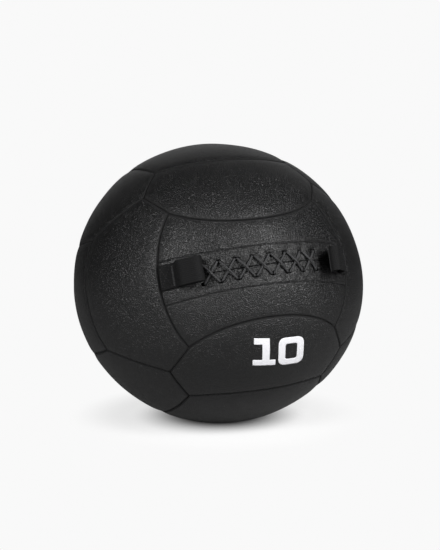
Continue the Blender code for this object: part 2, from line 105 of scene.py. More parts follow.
class Link:
    """An output of a material's nodes. Arithmetic on links adds Math nodes."""

    __add__, __radd__ = arithmetic("ADD")
    __sub__, __rsub__ = arithmetic("SUBTRACT")
    __mul__, __rmul__ = arithmetic("MULTIPLY")

    def __init__(self, tree, output=None):
        self.tree, self.output = tree, output

    def node(self, kind, settings=None, inputs=None, output=0):
        """Adds a node. Its settings are made first, then its inputs get values or links."""
        made = self.tree.nodes.new("ShaderNode" + kind)
        for name, value in (settings or {}).items():
            setattr(made, name, value)
        for name, value in (inputs or {}).items():
            if isinstance(value, Link):
                self.tree.links.new(value.output, made.inputs[name])
            else:
                made.inputs[name].default_value = value
        return Link(self.tree, made.outputs[output])

    def maths(self, operation, first, second=0.0):
        return self.node("Math", {"operation": operation}, {0: first, 1: second})

    def sine(self):
        return self.maths("SINE", self)

    def larger(self, other):
        return self.maths("MAXIMUM", self, other)

    def over(self, low, high, to_low=0.0, to_high=1.0):
        """This value, taken smoothly from one range to another and kept within it."""
        ranges = {"Value": self, 1: low, 2: high, 3: to_low, 4: to_high}
        return self.node("MapRange", {"interpolation_type": "SMOOTHSTEP"}, ranges)

    def noise(self, scale, detail=2.0, roughness=0.5):
        """Noise over this place, from 0 to 1. The scale is in lumps per metre."""
        inputs = {"Vector": self, "Scale": scale, "Detail": detail, "Roughness": roughness}
        return self.node("TexNoise", None, inputs)

    def part(self, index):
        """The X, Y or Z of this vector."""
        return self.node("SeparateXYZ", None, {0: self}, index)

    def blend(self, low, high):
        """A colour between two, of which the first may be a link, at this share."""
        low = low if isinstance(low, Link) else (*low, 1)
        return self.node("Mix", {"data_type": "RGBA"}, {0: self, 6: low, 7: (*high, 1)}, 2)

    def bump(self, height, depth, normal=None):
        """A normal that is raised by a height from 0 to 1, over a depth in metres."""
        inputs = {"Height": height, "Strength": 1.0, "Distance": depth}
        if normal:
            inputs["Normal"] = normal
        return self.node("Bump", None, inputs)


def new_material(name):
    """A material with its Principled shader, and its nodes' place on the piece."""
    made = bpy.data.materials.new(name)
    made.use_nodes = True
    tree = made.node_tree
    place = Link(tree).node("TexCoord", output=3)
    return made, tree.nodes["Principled BSDF"], place


def feed(shader, **inputs):
    """Sets inputs of a shader to values or links. An underscore stands for a space."""
    for name, value in inputs.items():
        socket = shader.inputs[name.replace("_", " ")]
        if isinstance(value, Link):
            value.tree.links.new(value.output, socket)
        else:
            socket.default_value = value


def added(operator, name, **settings):
    """A new object under its name, added as by hand."""
    bpy.ops.object.select_all(action="DESELECT")
    operator(**settings)
    made = bpy.context.object
    made.name = made.data.name = name
    return made


floor = added(bpy.ops.mesh.primitive_plane_add, "floor", size=FLOOR_SIZE)
paper, shader, place = new_material("white_sweep")
matt = (FLOOR_WHITE, FLOOR_WHITE, FLOOR_WHITE, 1)
feed(shader, Base_Color=matt, Roughness=1.0, Specular_IOR_Level=0)
from_ball = place.node("VectorMath", {"operation": "LENGTH"}, {0: place}, 1)
seen = place.node("LightPath") + GLOSS_SHARE * place.node("LightPath", output=3)
# Painted contact shadow: the glow fades out close to the ball.
glow = from_ball.over(*CONTACT_REACH, 0.0, FLOOR_GLOW) * seen
feed(shader, Emission_Color=glow.blend((0, 0, 0), (1, 1, 1)), Emission_Strength=1.0)
white = {"Color": (BACKDROP_WHITE, BACKDROP_WHITE, BACKDROP_WHITE, 1), "Strength": 1.0}
plain = place.node("Emission", None, white)
lit = Link(paper.node_tree, shader.outputs[0])
share = from_ball.over(*SHADOW_REACH) * seen
surface = place.node("MixShader", None, {0: share, 1: lit, 2: plain})
feed(paper.node_tree.nodes["Material Output"], Surface=surface)
floor.data.materials.append(paper)


# The studio: a tall soft lamp on each side of the camera, the right one brighter, in a dim
# room that is lightest behind the ball.

LAMPS = {
    "lamp_right": {"azimuth": 25.5, "elevation": 28, "size": (0.45, 1.25), "watts": 34},
    "lamp_left": {"azimuth": -54, "elevation": 22, "size": (0.45, 0.8), "watts": 20},
}
LAMP_DISTANCE = 1.8
ROOM_DARK = 0.022
ROOM_LIGHT = 0.44
ROOM_BRIGHTEST = (0.283, 0.893, 0.35)  # the way to its brightest part, behind the ball
ROOM_REACH = 0.78  # the cosine of the angle from that way at which the room is dark

for name, lamp in LAMPS.items():
    stand = toward_ball(lamp["azimuth"], lamp["elevation"], LAMP_DISTANCE)
    light = added(bpy.ops.object.light_add, name, type="AREA", **stand)
    light.data.shape = "RECTANGLE"
    light.data.size, light.data.size_y = lamp["size"]
    light.data.energy = lamp["watts"]

world = bpy.data.worlds.new("room")
bpy.context.scene.world = world
world.use_nodes = True
sky = Link(world.node_tree)
ways = {0: sky.node("TexCoord"), 1: ROOM_BRIGHTEST}
heading = sky.node("VectorMath", {"operation": "DOT_PRODUCT"}, ways, 1)
room = heading.over(ROOM_REACH, 1.0, ROOM_DARK, ROOM_LIGHT)
seen = sky.node("LightPath")
light = seen * BACKDROP_WHITE + (1 - seen) * room
feed(world.node_tree.nodes["Background"], Color=(1, 1, 1, 1), Strength=light)


# The cover's shape: a sphere of 350 mm, pressed flat where it rests, and turned as it
# lies. Bowed seams divide it into six four-sided and twelve long panels.

BALL_WIDTH = 0.350
BALL_HEIGHT = 0.340  # before the floor flattens it
FLOOR_EASE = 0.0015
LIE_PITCH = math.radians(-13.5)
LIE_ROLL = math.radians(-4.7)
CORNER_SHARES = {"x": (1, 0.242, 0.418), "y": (0.668, 1, 0.593), "z": (0.611, 0.602, 1)}
TIP_SHARES = (1.075, 1, 1.052)
BOW_SHARES = {"yz": 0.211, "yx": -0.102, "zy": -0.119, "xy": 0.045, "zx": 0.0, "xz": 0.0}
TIP_BOW_SHARES = {"x": 0.026, "y": 0.0, "z": 0.0}
SLUMP_DEPTH = 0.0042  # how far the fibre has sunk at the ball's upper right
SLUMP_TOWARD = np.array([0.578, -0.063, 0.812])
SLUMP_START = 0.40  # the cosine of the angle from its middle at which it starts
LUMP_DEPTH = 0.0012  # how uneven the packed fibre leaves the leather
LUMP_SIZE = 0.055
CHANCE = np.random.default_rng(7).random((64, 64, 64))

RADIUS = BALL_WIDTH / 2
HALF_SIZES = np.array([BALL_WIDTH, BALL_WIDTH, BALL_HEIGHT]) / 2
LIE = np.array(Matrix.Rotation(LIE_PITCH, 3, "X") @ Matrix.Rotation(LIE_ROLL, 3, "Y"))
AXIS = {"x": np.array([1.0, 0, 0]), "y": np.array([0, 1.0, 0]), "z": np.array([0, 0, 1.0])}


def unit(vector):
    return vector / np.linalg.norm(vector, axis=-1, keepdims=True)


def noise_at(points, size):
    """Smooth noise from 0 to 1 at each point, in lumps of about that size."""
    scaled = np.asarray(points) / size
    cell = np.floor(scaled).astype(int)
    part = scaled - cell
    ease = part**3 * (part * (6 * part - 15) + 10)
    total = 0
    for step in np.ndindex(2, 2, 2):
        x, y, z = np.moveaxis((cell + step) % len(CHANCE), -1, 0)
        total = total + CHANCE[x, y, z] * np.where(step, ease, 1 - ease).prod(-1)
    return total


def lumps(direction):
    """How deep the leather sags between lumps of fibre."""
    here = unit(direction) * RADIUS
    return LUMP_DEPTH * (0.7 * noise_at(here, LUMP_SIZE) + 0.3 * noise_at(here, LUMP_SIZE / 2))


def skin(direction, depth=0.0):
    """The point that lies depth under the skin, in a direction in the ball's own axes."""
    turned = unit(direction) @ LIE.T
    depth = np.broadcast_to(depth, turned.shape[:-1])
    near = np.clip((turned @ SLUMP_TOWARD - SLUMP_START) / (1 - SLUMP_START), 0, 1)
    inward = depth + SLUMP_DEPTH * near**2 * (3 - 2 * near)
    point = turned * HALF_SIZES - unit(turned / HALF_SIZES) * inward[..., None]
    height = point[..., 2] + BALL_MIDDLE.z
    over = np.clip(height - depth, -FLOOR_EASE, FLOOR_EASE)
    eased = depth + (over + FLOOR_EASE) ** 2 / (4 * FLOOR_EASE)
    point[..., 2] = np.where(height - depth < FLOOR_EASE, eased, height)
    return point


def corner(face, signs):
    return unit(np.array(CORNER_SHARES[face]) * signs)


def seam(start, end, bow, toward):
    """A seam as a function of the share of its length, bowed toward a direction."""
    middle = unit(start + end)
    aside = unit(toward - (toward @ middle) * middle)

    def along(share):
        share = np.asarray(share, dtype=float)[..., None]
        straight = unit(start * (1 - share) + end * share)
        return unit(straight + bow * 4 * share * (1 - share) * aside)

    return along


def signs_of(face, face_sign, other, other_sign, free_sign):
    """The signs of one end of the seam between two faces."""
    known = {face: face_sign, other: other_sign}
    return np.array([known.get(axis, free_sign) for axis in "xyz"])


def face_seam(*sides):
    """The seam of a face panel on its side toward another face."""
    face, face_sign, other, other_sign = sides
    start, end = (corner(face, signs_of(*sides, s)) for s in (-1, 1))
    return seam(start, end, BOW_SHARES[face + other], -other_sign * AXIS[other])


def tip_seam(face, signs):
    """The seam from a face panel's corner out to the tip where three long panels meet."""
    tip = unit(np.array(TIP_SHARES) * signs)
    away = -signs[2] * AXIS["z"] if face != "z" else -signs[0] * AXIS["x"]
    return seam(corner(face, signs), tip, TIP_BOW_SHARES[face], away)


def pointed_end(first, second, signs):
    """The end of a long panel, out from one face's corner to the tip and back in."""
    out, back_in = tip_seam(first, signs), tip_seam(second, signs)

    def along(share):
        share = np.asarray(share, dtype=float)
        outward = out(np.clip(2 * share, 0, 1))
        inward = back_in(np.clip(2 - 2 * share, 0, 1))
        return np.where((share < 0.5)[..., None], outward, inward)

    return along


def patch(bottom, top, left, right, columns, rows):
    """Directions over the panel that four sides bound, one row after another."""
    u, v = np.meshgrid(columns, rows)
    u, v = u[..., None], v[..., None]
    across = bottom(u[..., 0]) * (1 - v) + top(u[..., 0]) * v
    upward = left(v[..., 0]) * (1 - u) + right(v[..., 0]) * u
    low = bottom(0) * (1 - u) + bottom(1) * u
    high = top(0) * (1 - u) + top(1) * u
    return unit(across + upward - low * (1 - v) - high * v)


# The cover's material: black synthetic leather with a fine pebbled grain and a soft sheen.
# Its grain is worn a little smoother on the panels. Along the seams its colour is lighter,
# partly from dust and partly as a painted light rim, and in the seams' grooves it is
# darkened as painted shade.

LEATHER_BLACK = (0.0026, 0.0026, 0.0028)
LEATHER_DUST_AND_LIGHT_RIM = (0.0075, 0.0075, 0.0080)
GRAIN = 0.0021  # width of one pebble
GRAIN_DEPTH = 0.00030
WRINKLE = 0.0034
WRINKLE_DEPTH = 0.00055
LEATHER_ROUGHNESS = (0.33, 0.45)
DUST_AND_LIGHT_RIM_REACH = (0.0008, 0.006)  # from the seam
GROOVE_SHADE_REACH = (0.0008, 0.0028)


def leather_material(name, black, dust_and_light_rim_colour, roughness):
    made, shader, place = new_material(name)
    from_seam = place.node("Attribute", {"attribute_name": "from_seam"}, None, 2)
    bend = place.node("TexNoise", None, {"Vector": place, "Scale": 0.5 / GRAIN}, 1)
    shares = {0: bend, 1: (GRAIN / 2, GRAIN / 2, GRAIN / 2), 2: place}
    bent = place.node("VectorMath", {"operation": "MULTIPLY_ADD"}, shares)
    cells = {"Vector": bent, "Scale": 1 / GRAIN}
    pebbles = place.node("TexVoronoi", {"feature": "DISTANCE_TO_EDGE"}, cells).over(0.0, 0.28)
    wrinkles = place.noise(1 / WRINKLE, 3.0, 0.6)
    patches = place.noise(38.0, 3.0)
    # Lighter along the seams: partly dust, partly a painted light rim beside them.
    dust_and_light_rim = (1 - from_seam.over(*DUST_AND_LIGHT_RIM_REACH)) * patches.over(0.3, 0.7) * 0.6
    low, high = roughness
    # Painted shade: in the seams' grooves the colour is darkened, and the roughness raised.
    groove_shade = 1 - from_seam.over(*GROOVE_SHADE_REACH)
    rough = low + (high - low) * (0.55 * patches + 0.45 * (1 - pebbles)) + groove_shade * 0.6
    raised = place.bump(pebbles, GRAIN_DEPTH, place.bump(wrinkles, WRINKLE_DEPTH))
    colour = (dust_and_light_rim + (1 - pebbles) * 0.15 - groove_shade).blend(black, dust_and_light_rim_colour)
    feed(shader, Base_Color=colour, Roughness=rough, Normal=raised)
    return made


COVER_LEATHER = leather_material(
    "cover_leather", LEATHER_BLACK, LEATHER_DUST_AND_LIGHT_RIM, LEATHER_ROUGHNESS
)


# The seventeen plain panels of the cover. Each is cut from one sheet of leather, sewn to
# its neighbours face to face and turned, so that its edges roll into the seams.

LEATHER = 0.0016
SEAM_GAP = 0.0020
SEAM_ROLL = 0.0018  # radius of the rolled edge
SEAM_SAG = 0.0007  # how far the stitches draw the leather in, round the roll
SEAM_SAG_REACH = 0.013
PUCKER_DEPTH = 0.0007
PUCKER_LENGTH = 0.0075  # along the seam, from one pucker to the next
PUCKER_REACH = 0.010
SEAM_BOTTOM = 0.0108  # how deep the turned allowances reach
EDGE_ROWS = (0, 0.0002, 0.0006, 0.0012, 0.002, 0.003, 0.0045, 0.0065, 0.009, 0.012, 0.0155)
ROW_GAP = 0.0032  # between rows in the middle of a panel
SIDE_STEPS = 33  # over which a side is measured


def nearest_on(border, points):
    """How far each point is from a border of straight stretches, and its nearest place."""
    starts, ends = border[:-1], border[1:]
    runs = ends - starts
    length = np.maximum((runs * runs).sum(-1), 1e-18)
    far = np.empty(points.shape[:-1])
    place = np.empty(points.shape)
    for row, line in enumerate(points):
        from_start = line[:, None, :] - starts
        share = np.clip((from_start * runs).sum(-1) / length, 0, 1)
        nearest = starts + share[..., None] * runs
        apart = np.linalg.norm(line[:, None, :] - nearest, axis=-1)
        best = apart.argmin(-1)
        column = np.arange(len(line))
        far[row], place[row] = apart[column, best], nearest[column, best]
    return far, place


def sewn_edge(far, nearest):
    """How deep a sewn edge rolls, sags and puckers, at a distance from its seam."""
    inner = np.clip(1 - far / SEAM_ROLL, 0, 0.9997)
    roll = SEAM_ROLL * (1 - np.sqrt(1 - inner**2))
    sag = SEAM_SAG * np.clip(1 - far / SEAM_SAG_REACH, 0, 1) ** 2
    ripple = noise_at(nearest, PUCKER_LENGTH)
    reach = np.clip(1 - far / PUCKER_REACH, 0, 1) ** 1.5 * np.clip(far / SEAM_ROLL, 0.3, 1)
    return roll + sag + PUCKER_DEPTH * ripple * reach


def rows_over(length, gap=ROW_GAP):
    """Shares of a length, close together at both ends and even in the middle."""
    edge = np.array(EDGE_ROWS) / length
    count = max(4, round((length - 2 * EDGE_ROWS[-1]) / gap))
    middle = np.linspace(edge[-1], 1 - edge[-1], count + 1)[1:-1]
    return np.concatenate([edge, middle, 1 - edge[::-1]])


def length_of(side):
    line = side(np.linspace(0, 1, SIDE_STEPS)) * RADIUS
    return np.linalg.norm(np.diff(line, axis=0), axis=-1).sum()


def shape_to(piece, places, material):
    """Puts a primitive's vertices in their places and gives it its material."""
    piece.data.vertices.foreach_set("co", places.astype(np.float32).ravel())
    piece.data.update()
    piece.data.materials.append(material)
    return piece


def grid_piece(name, places, material):
    """A primitive grid whose vertices are put in their places, one row after another."""
    rows, columns = places.shape[:2]
    steps = {"x_subdivisions": columns - 1, "y_subdivisions": rows - 1}
    grid = added(bpy.ops.mesh.primitive_grid_add, name, size=1, **steps)
    return shape_to(grid, places, material)


def apply(piece, kind, **settings):
    """Adds a modifier to a piece and applies it."""
    bpy.ops.object.select_all(action="DESELECT")
    piece.select_set(True)
    bpy.context.view_layer.objects.active = piece
    made = piece.modifiers.new(kind.lower(), kind)
    for name, value in settings.items():
        setattr(made, name, value)
    bpy.ops.object.modifier_apply(modifier=made.name)


def cover_panel(name, directions, depth, far, first_sewn_row=0):
    """A panel over a grid of directions, with its edges turned in along the seams.

    Where a flap has rows before the first sewn one, they are its free edge at the slit.
    """
    rows, columns = directions.shape[:2]
    surface = skin(directions)
    row, column = np.mgrid[:rows, :columns]
    inner_row = np.clip(row, 0 if first_sewn_row else 1, rows - 2)
    inward = surface[inner_row, np.clip(column, 1, columns - 2)] - surface
    length = np.linalg.norm(inward, axis=-1, keepdims=True)
    draw = SEAM_GAP / 2 * np.divide(inward, length, out=0 * inward, where=length > 0)
    piece = grid_piece(name, skin(directions, depth) + draw, COVER_LEATHER)
    from_seam = piece.data.attributes.new("from_seam", "FLOAT", "POINT")
    from_seam.data.foreach_set("value", far.astype(np.float32).ravel())
    middle = Vector(surface[rows * 2 // 3, columns // 2])
    near = min(piece.data.polygons, key=lambda face: (face.center - middle).length)
    if near.normal.dot(middle - BALL_MIDDLE) < 0:
        piece.data.flip_normals()

    # The seam allowances: the sewn sides of the sheet are extruded inwards
    bottom = skin(directions, SEAM_BOTTOM) + draw
    work = bmesh.new()
    work.from_mesh(piece.data)
    number = work.verts.layers.int.new("number")
    for index, vert in enumerate(work.verts):
        vert[number] = index
    sewn = []
    for edge in work.edges:
        if edge.is_boundary and min(v[number] for v in edge.verts) >= first_sewn_row * columns:
            sewn.append(edge)
    for made in bmesh.ops.extrude_edge_only(work, edges=sewn)["geom"]:
        if isinstance(made, bmesh.types.BMVert):
            made.co = bottom[divmod(made[number], columns)]
    work.verts.layers.int.remove(number)
    work.to_mesh(piece.data)
    work.free()
    apply(piece, "SOLIDIFY", thickness=LEATHER, offset=-1, use_quality_normals=True)
    return piece


def finish(piece, slot, *nodes, padded=False):
    """Smooths a piece that the ball carries, hides the frame's parts that it stands for,
    and hangs it on the ball. Its slot is not used.
    """
    piece.data.shade_smooth()
    if nodes:
        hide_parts(*nodes)
    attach(piece, "ball")


def plain_panel(name, sides):
    across = (length_of(sides[0]) + length_of(sides[1])) / 2
    upward = (length_of(sides[2]) + length_of(sides[3])) / 2
    directions = patch(*sides, rows_over(across), rows_over(upward))
    surface = skin(directions)
    ring = [surface[0], surface[1:, -1], surface[-1, -2::-1], surface[-2::-1, 0]]
    border = np.concatenate(ring)
    far, nearest = nearest_on(border, surface)
    depth = sewn_edge(far, nearest) + lumps(directions)
    piece = cover_panel(f"leather_{name}", directions, depth, far)
    finish(piece, "cover_leather", f"panel_{name}", padded=True)
    return border


FACES = {
    ("y", -1): "front",
    ("y", 1): "back",
    ("z", 1): "top",
    ("z", -1): "bottom",
    ("x", -1): "left",
    ("x", 1): "right",
}

borders = {}
for face, name in FACES.items():
    if name != "front":
        across, upward = sorted({"x", "y", "z"} - {face[0]})
        sides = [face_seam(*face, axis, s) for axis in (upward, across) for s in (-1, 1)]
        borders[name] = plain_panel(name, sides)

for face, other in combinations(FACES, 2):
    if face[0] != other[0]:
        sides = [face_seam(*face, *other), face_seam(*other, *face)]
        for s in (-1, 1):
            sides.append(pointed_end(face[0], other[0], signs_of(*face, *other, s)))
        words = [FACES[face], FACES[other]]
        name = "_".join(reversed(words) if face[0] == "y" else words)
        borders[name] = plain_panel(name, sides)


# The front panel, slit across into two flaps. Each flap's edge is folded under at the slit
# and topstitched, and a row of holes is punched through both layers for the lace. The
# tight lacing draws the leather in along the slit and at each hole.

CLOSURE_RISE = 0.0028  # of the slit's middle above the front panel's middle
CLOSURE_BEND_RADIUS = 1.6
SLIT_GAP = 0.0002
FOLD_DEPTH = 0.0033  # of the two layers of leather, where one folds under at the slit
FOLD_BULGE = 0.0006  # how far the fold rounds off
FOLD_STEPS = 8
FLAP_GAP = 0.0014  # between rows and columns near the slit
HEM_FOLD = (0.0215, 0.0190, 0.0165, 0.0140, 0.0120, 0.0100, 0.0075, 0.0050, 0.0032)
STITCH_LINES = {1: (0.0228, -0.014, 0.0), -1: (0.0227, 0.010, 0.35)}
GROOVE_ROWS = (-0.0012, -0.0008, -0.0004, 0, 0.0004, 0.0008, 0.0014)
GROOVE_DEPTH = 0.0009
GROOVE_WIDTH = 0.0007
VALLEY_DEPTH = 0.0012
VALLEY_REACH = 0.014
HOLE_ROW = 0.0111  # from the slit to the middle of the holes
HOLE_WIDTH = 0.0038
HOLE_SIDES = 24
DIMPLE_DEPTH = 0.0010
DIMPLE_REACH = 0.0040
RUMPLE_DEPTH = 0.0014  # how far the lacing creases the leather between the holes
RUMPLE_SIZE = 0.0062
RUMPLE_REACH = (0.092, 0.021)  # along the slit and up from it
LACE_PITCH = 0.0196
LACE_MIDDLE = -0.0023
LACE_HOLES = 8  # in each flap
LACE_SPREAD = 0.0027  # between the two strands that share a hole


def closure_height(along):
    return CLOSURE_RISE - along**2 / (2 * CLOSURE_BEND_RADIUS)


def closure(along, up):
    """The direction of a place on the front, along the slit from its middle and up from it."""
    along, up = np.broadcast_arrays(np.asarray(along, dtype=float), up)
    level = (closure_height(along) + up) / RADIUS
    flat = np.sqrt(1 - level**2)
    turn = along / RADIUS
    return np.stack([np.sin(turn) * flat, -np.cos(turn) * flat, level], axis=-1)


def place_on_front(direction):
    """Where a direction lies on the front, along the slit and up from it."""
    x, y, z = np.moveaxis(unit(direction), -1, 0)
    along = np.arctan2(x, -y) * RADIUS
    return along, z * RADIUS - closure_height(along)


def meeting(side_seam, up_at):
    """Where a side seam of the front crosses a line above the slit: its share, and along."""
    low, high = 0.0, 1.0
    for halving in range(30):
        share = (low + high) / 2
        along, up = place_on_front(side_seam(share))
        low, high = (share, high) if up < up_at(along) else (low, share)
    return share, float(along)


def stitch_line(along, sign):
    """How far a flap's topstitching lies from the slit."""
    away, slope, bend = STITCH_LINES[sign]
    return away + slope * along + bend * along**2


def lace_place(index):
    return LACE_MIDDLE + (index - (LACE_HOLES - 1) / 2) * LACE_PITCH


def drawn_in(direction):
    """How deep the lacing and the topstitching draw the front's leather in."""
    along, up = place_on_front(direction)
    depth = VALLEY_DEPTH * np.exp(-((up / VALLEY_REACH) ** 2))
    for sign in STITCH_LINES:
        off_line = (sign * up - stitch_line(along, sign)) / GROOVE_WIDTH
        depth = depth + GROOVE_DEPTH * np.exp(-(off_line**2))
    for index in range(LACE_HOLES):
        aside = np.maximum(np.abs(along - lace_place(index)) - LACE_SPREAD / 2, 0)
        away = np.hypot(aside, np.abs(up) - HOLE_ROW) / DIMPLE_REACH
        depth = depth + DIMPLE_DEPTH * np.exp(-(away**2))
    return depth


def rumpled(direction):
    """How deep the leather is creased between the holes."""
    along, up = place_on_front(direction)
    window = np.exp(-((along / RUMPLE_REACH[0]) ** 8) - (up / RUMPLE_REACH[1]) ** 4)
    return RUMPLE_DEPTH * noise_at(unit(direction) * RADIUS, RUMPLE_SIZE) * window


FRONT_SIDES = [face_seam("y", -1, "x", s) for s in (-1, 1)]


def rise_at(sign, share, offset):
    """How high a line is: a share of the way to the topstitching, and an offset on."""
    return lambda along: sign * (share * stitch_line(along, sign) + offset)


def line_above(sign, share, offset):
    """The line of such a height, from one side of the front to the other."""
    up_at = rise_at(sign, share, offset)
    start, end = (meeting(side, up_at)[1] for side in FRONT_SIDES)

    def line(shares):
        along = start + (end - start) * np.asarray(shares)
        return closure(along, up_at(along))

    return line


def part_of(side_seam, start, end):
    return lambda share: side_seam(start + (end - start) * np.asarray(share))


def out_of(direction):
    """The way straight out of the skin."""
    return unit(skin(direction) - skin(direction, LEATHER))


def points_of(piece):
    return np.array([vert.co for vert in piece.data.vertices])


def copy_to(piece, shapes):
    """Turns a piece into copies of itself, one for each set of its moved points."""
    polygons = [tuple(face.vertices) for face in piece.data.polygons]
    faces = []
    for index in range(len(shapes)):
        first = index * len(shapes[0])
        faces += [tuple(first + vert for vert in polygon) for polygon in polygons]
    piece.data.clear_geometry()
    piece.data.from_pydata(np.reshape(shapes, (-1, 3)), [], faces)

def closure_flap(name, sign):
    """The flap above the slit, or below it where the sign is -1."""
    columns = rows_over(length_of(line_above(sign, 0, 0)), FLAP_GAP)
    fold_start = SLIT_GAP / 2 + FOLD_BULGE
    rows = [(0, under, FOLD_DEPTH) for under in HEM_FOLD]
    for angle in np.linspace(math.pi, 0, FOLD_STEPS + 1):
        up = fold_start - FOLD_BULGE * math.sin(angle)
        rows.append((0, up, FOLD_DEPTH * (1 - math.cos(angle)) / 2))
    first_top_row = len(rows) - 1
    steps = round(STITCH_LINES[sign][0] / FLAP_GAP)
    for share in np.linspace(0, 1, steps + 1)[1:-1]:
        rows.append((share, fold_start * (1 - share) + GROOVE_ROWS[0] * share, 0))
    rows += [(1, offset, 0) for offset in GROOVE_ROWS]
    hem = [line_above(sign, share, offset)(columns) for share, offset, depth in rows]
    hem_edge = rise_at(sign, 1, GROOVE_ROWS[-1])
    edges = [part_of(side, meeting(side, hem_edge)[0], (sign + 1) / 2) for side in FRONT_SIDES]
    upward = length_of(edges[0])
    far_edge = np.array(EDGE_ROWS) / upward
    count = round(upward / (2 * FLAP_GAP))
    up_shares = np.linspace(0, 1 - far_edge[-1], count + 1)[1:]
    up_shares = np.concatenate([up_shares, 1 - far_edge[-2::-1]])
    hem_line = line_above(sign, 1, GROOVE_ROWS[-1])
    rest = patch(hem_line, face_seam("y", -1, "z", sign), *edges, columns, up_shares)
    directions = np.concatenate([hem, rest])
    fold_depth = np.array([depth for share, offset, depth in rows] + [0] * len(rest))

    surface = skin(directions)
    right, left = surface[first_top_row:, -1], surface[first_top_row:, 0]
    border = np.concatenate([right, surface[-1, -2:0:-1], left[::-1]])
    far, nearest = nearest_on(border, surface)
    depth = sewn_edge(far, nearest) + lumps(directions) + fold_depth[:, None]
    depth += drawn_in(directions) + rumpled(directions)
    flap = cover_panel(name, directions, depth, far, first_top_row)

    # One oval punch, copied to each hole
    size = {"vertices": HOLE_SIDES, "radius": HOLE_WIDTH / 2, "depth": 6 * LEATHER}
    punch = added(bpy.ops.mesh.primitive_cylinder_add, "punch", **size)
    oval = points_of(punch)
    oval[:, 0] += np.sign(np.round(oval[:, 0], 6)) * LACE_SPREAD / 2
    punches = []
    for index in range(LACE_HOLES):
        here = closure(lace_place(index), sign * HOLE_ROW)
        beside = closure(lace_place(index) + HOLE_WIDTH, sign * HOLE_ROW)
        out, along = out_of(here), unit(skin(beside) - skin(here))
        turn = np.array([along, np.cross(out, along), out])
        punches.append(skin(here, 2 * LEATHER) + oval @ turn)
    copy_to(punch, punches)
    apply(flap, "BOOLEAN", object=punch, operation="DIFFERENCE", solver="MANIFOLD")
    bpy.data.objects.remove(punch)
    return flap


for name, sign in {"upper": 1, "lower": -1}.items():
    flap = closure_flap(f"leather_flap_{name}", sign)
    finish(flap, "cover_leather", f"closure_flap_{name}", padded=True)


# Thread. The seams are sewn with black thread that shows only as small bars across the
# bottom of their grooves, and both hems are topstitched with a slightly heavier one.

THREAD_BLACK = (0.006, 0.006, 0.006)
THREAD_GREY = (0.020, 0.020, 0.021)
SEAM_THREAD = {"length": 0.0014, "width": 0.0005, "pitch": 0.0038, "depth": 0.0030}
TOPSTITCH = {"length": 0.0033, "width": 0.0007, "pitch": 0.0043, "shares": (0.012, 0.988)}
STITCH_BLUNTNESS = 0.55
YARN_DEPTH = 0.0001
LINE_STEPS = 65


def thread_material(name, black, grey):
    made, shader, place = new_material(name)
    strands = place.noise(2600.0, 2.0)
    wear = place.noise(90.0, 2.0)
    colour = (0.5 * strands + 0.5 * wear).blend(black, grey)
    raised = place.bump(strands, YARN_DEPTH)
    feed(shader, Base_Color=colour, Roughness=0.55 + 0.3 * strands, Normal=raised)
    return made


def stitches(name, places, width, material):
    """One stitch, copied to many places: starts, ends, and the ways it is bowed out."""
    starts, ends, outward = places
    size = {"segments": 6, "ring_count": 6, "radius": 0.5}
    piece = added(bpy.ops.mesh.primitive_uv_sphere_add, name, **size)
    shape = points_of(piece)
    run = np.sign(shape[:, 2]) * np.abs(2 * shape[:, 2]) ** STITCH_BLUNTNESS / 2
    side, rise = shape[:, 0], shape[:, 1] - 2 * run**2
    along = ends - starts
    across = unit(np.cross(outward, along))
    points = (
        ((starts + ends) / 2)[:, None]
        + run[:, None] * along[:, None]
        + side[:, None] * width * across[:, None]
        + rise[:, None] * width * outward[:, None]
    )
    copy_to(piece, points)
    piece.data.materials.append(material)
    finish(piece, "lace_cord")


def lengths_to(points):
    """How far along a line each of its points lies."""
    return np.concatenate([[0], np.cumsum(np.linalg.norm(np.diff(points, axis=0), axis=-1))])


def points_at(places, lengths, points):
    """The points at some places along a line."""
    return np.stack([np.interp(places, lengths, points[:, i]) for i in range(3)], -1)


def marks_along(line, thread):
    """Starts and ends of stitches along a line of directions, at even distances."""
    pitch, length = thread["pitch"], thread["length"]
    far = lengths_to(skin(line))
    count = int((far[-1] - length) // pitch)
    begin = (far[-1] - count * pitch) / 2 + pitch * np.arange(count)
    return [unit(points_at(place, far, line)) for place in (begin, begin + length)]


SEAM_BLACK = thread_material("seam_thread", THREAD_BLACK, THREAD_GREY)
seam_lines = []
shares = np.linspace(0, 1, LINE_STEPS)
for face in "xyz":
    for sign in (-1, 1):
        for other in "xyz".replace(face, ""):
            seam_lines += [face_seam(face, sign, other, s)(shares) for s in (-1, 1)]
    for signs in np.ndindex(2, 2, 2):
        seam_lines.append(tip_seam(face, 1 - 2 * np.array(signs))(shares))

places = []
for line in seam_lines:
    first, second = marks_along(line, SEAM_THREAD)
    here = unit(first + second)
    out = out_of(here)
    middle = skin(here, lumps(here) + SEAM_SAG + SEAM_THREAD["depth"])
    across = unit(np.cross(skin(second) - skin(first), out)) * SEAM_THREAD["length"] / 2
    places.append((middle - across, middle + across, out))
places = np.concatenate(places, axis=1)
stitches("seam_thread", places, SEAM_THREAD["width"], SEAM_BLACK)

places = []
for sign in STITCH_LINES:
    line = line_above(sign, 1, 0)(np.linspace(*TOPSTITCH["shares"], 200))
    marks = marks_along(line, TOPSTITCH)
    depths = [lumps(ends) + drawn_in(ends) - TOPSTITCH["width"] / 4 for ends in marks]
    places.append((*map(skin, marks, depths), out_of(marks[0])))
topstitch_thread = thread_material("topstitch_thread", THREAD_BLACK, THREAD_GREY)
places = np.concatenate(places, axis=1)
stitches("topstitching", places, TOPSTITCH["width"], topstitch_thread)


# The number 10 on the panel below the closure: a thin white film, pressed hot on to the
# leather, so that it follows the panel and takes a trace of the grain.

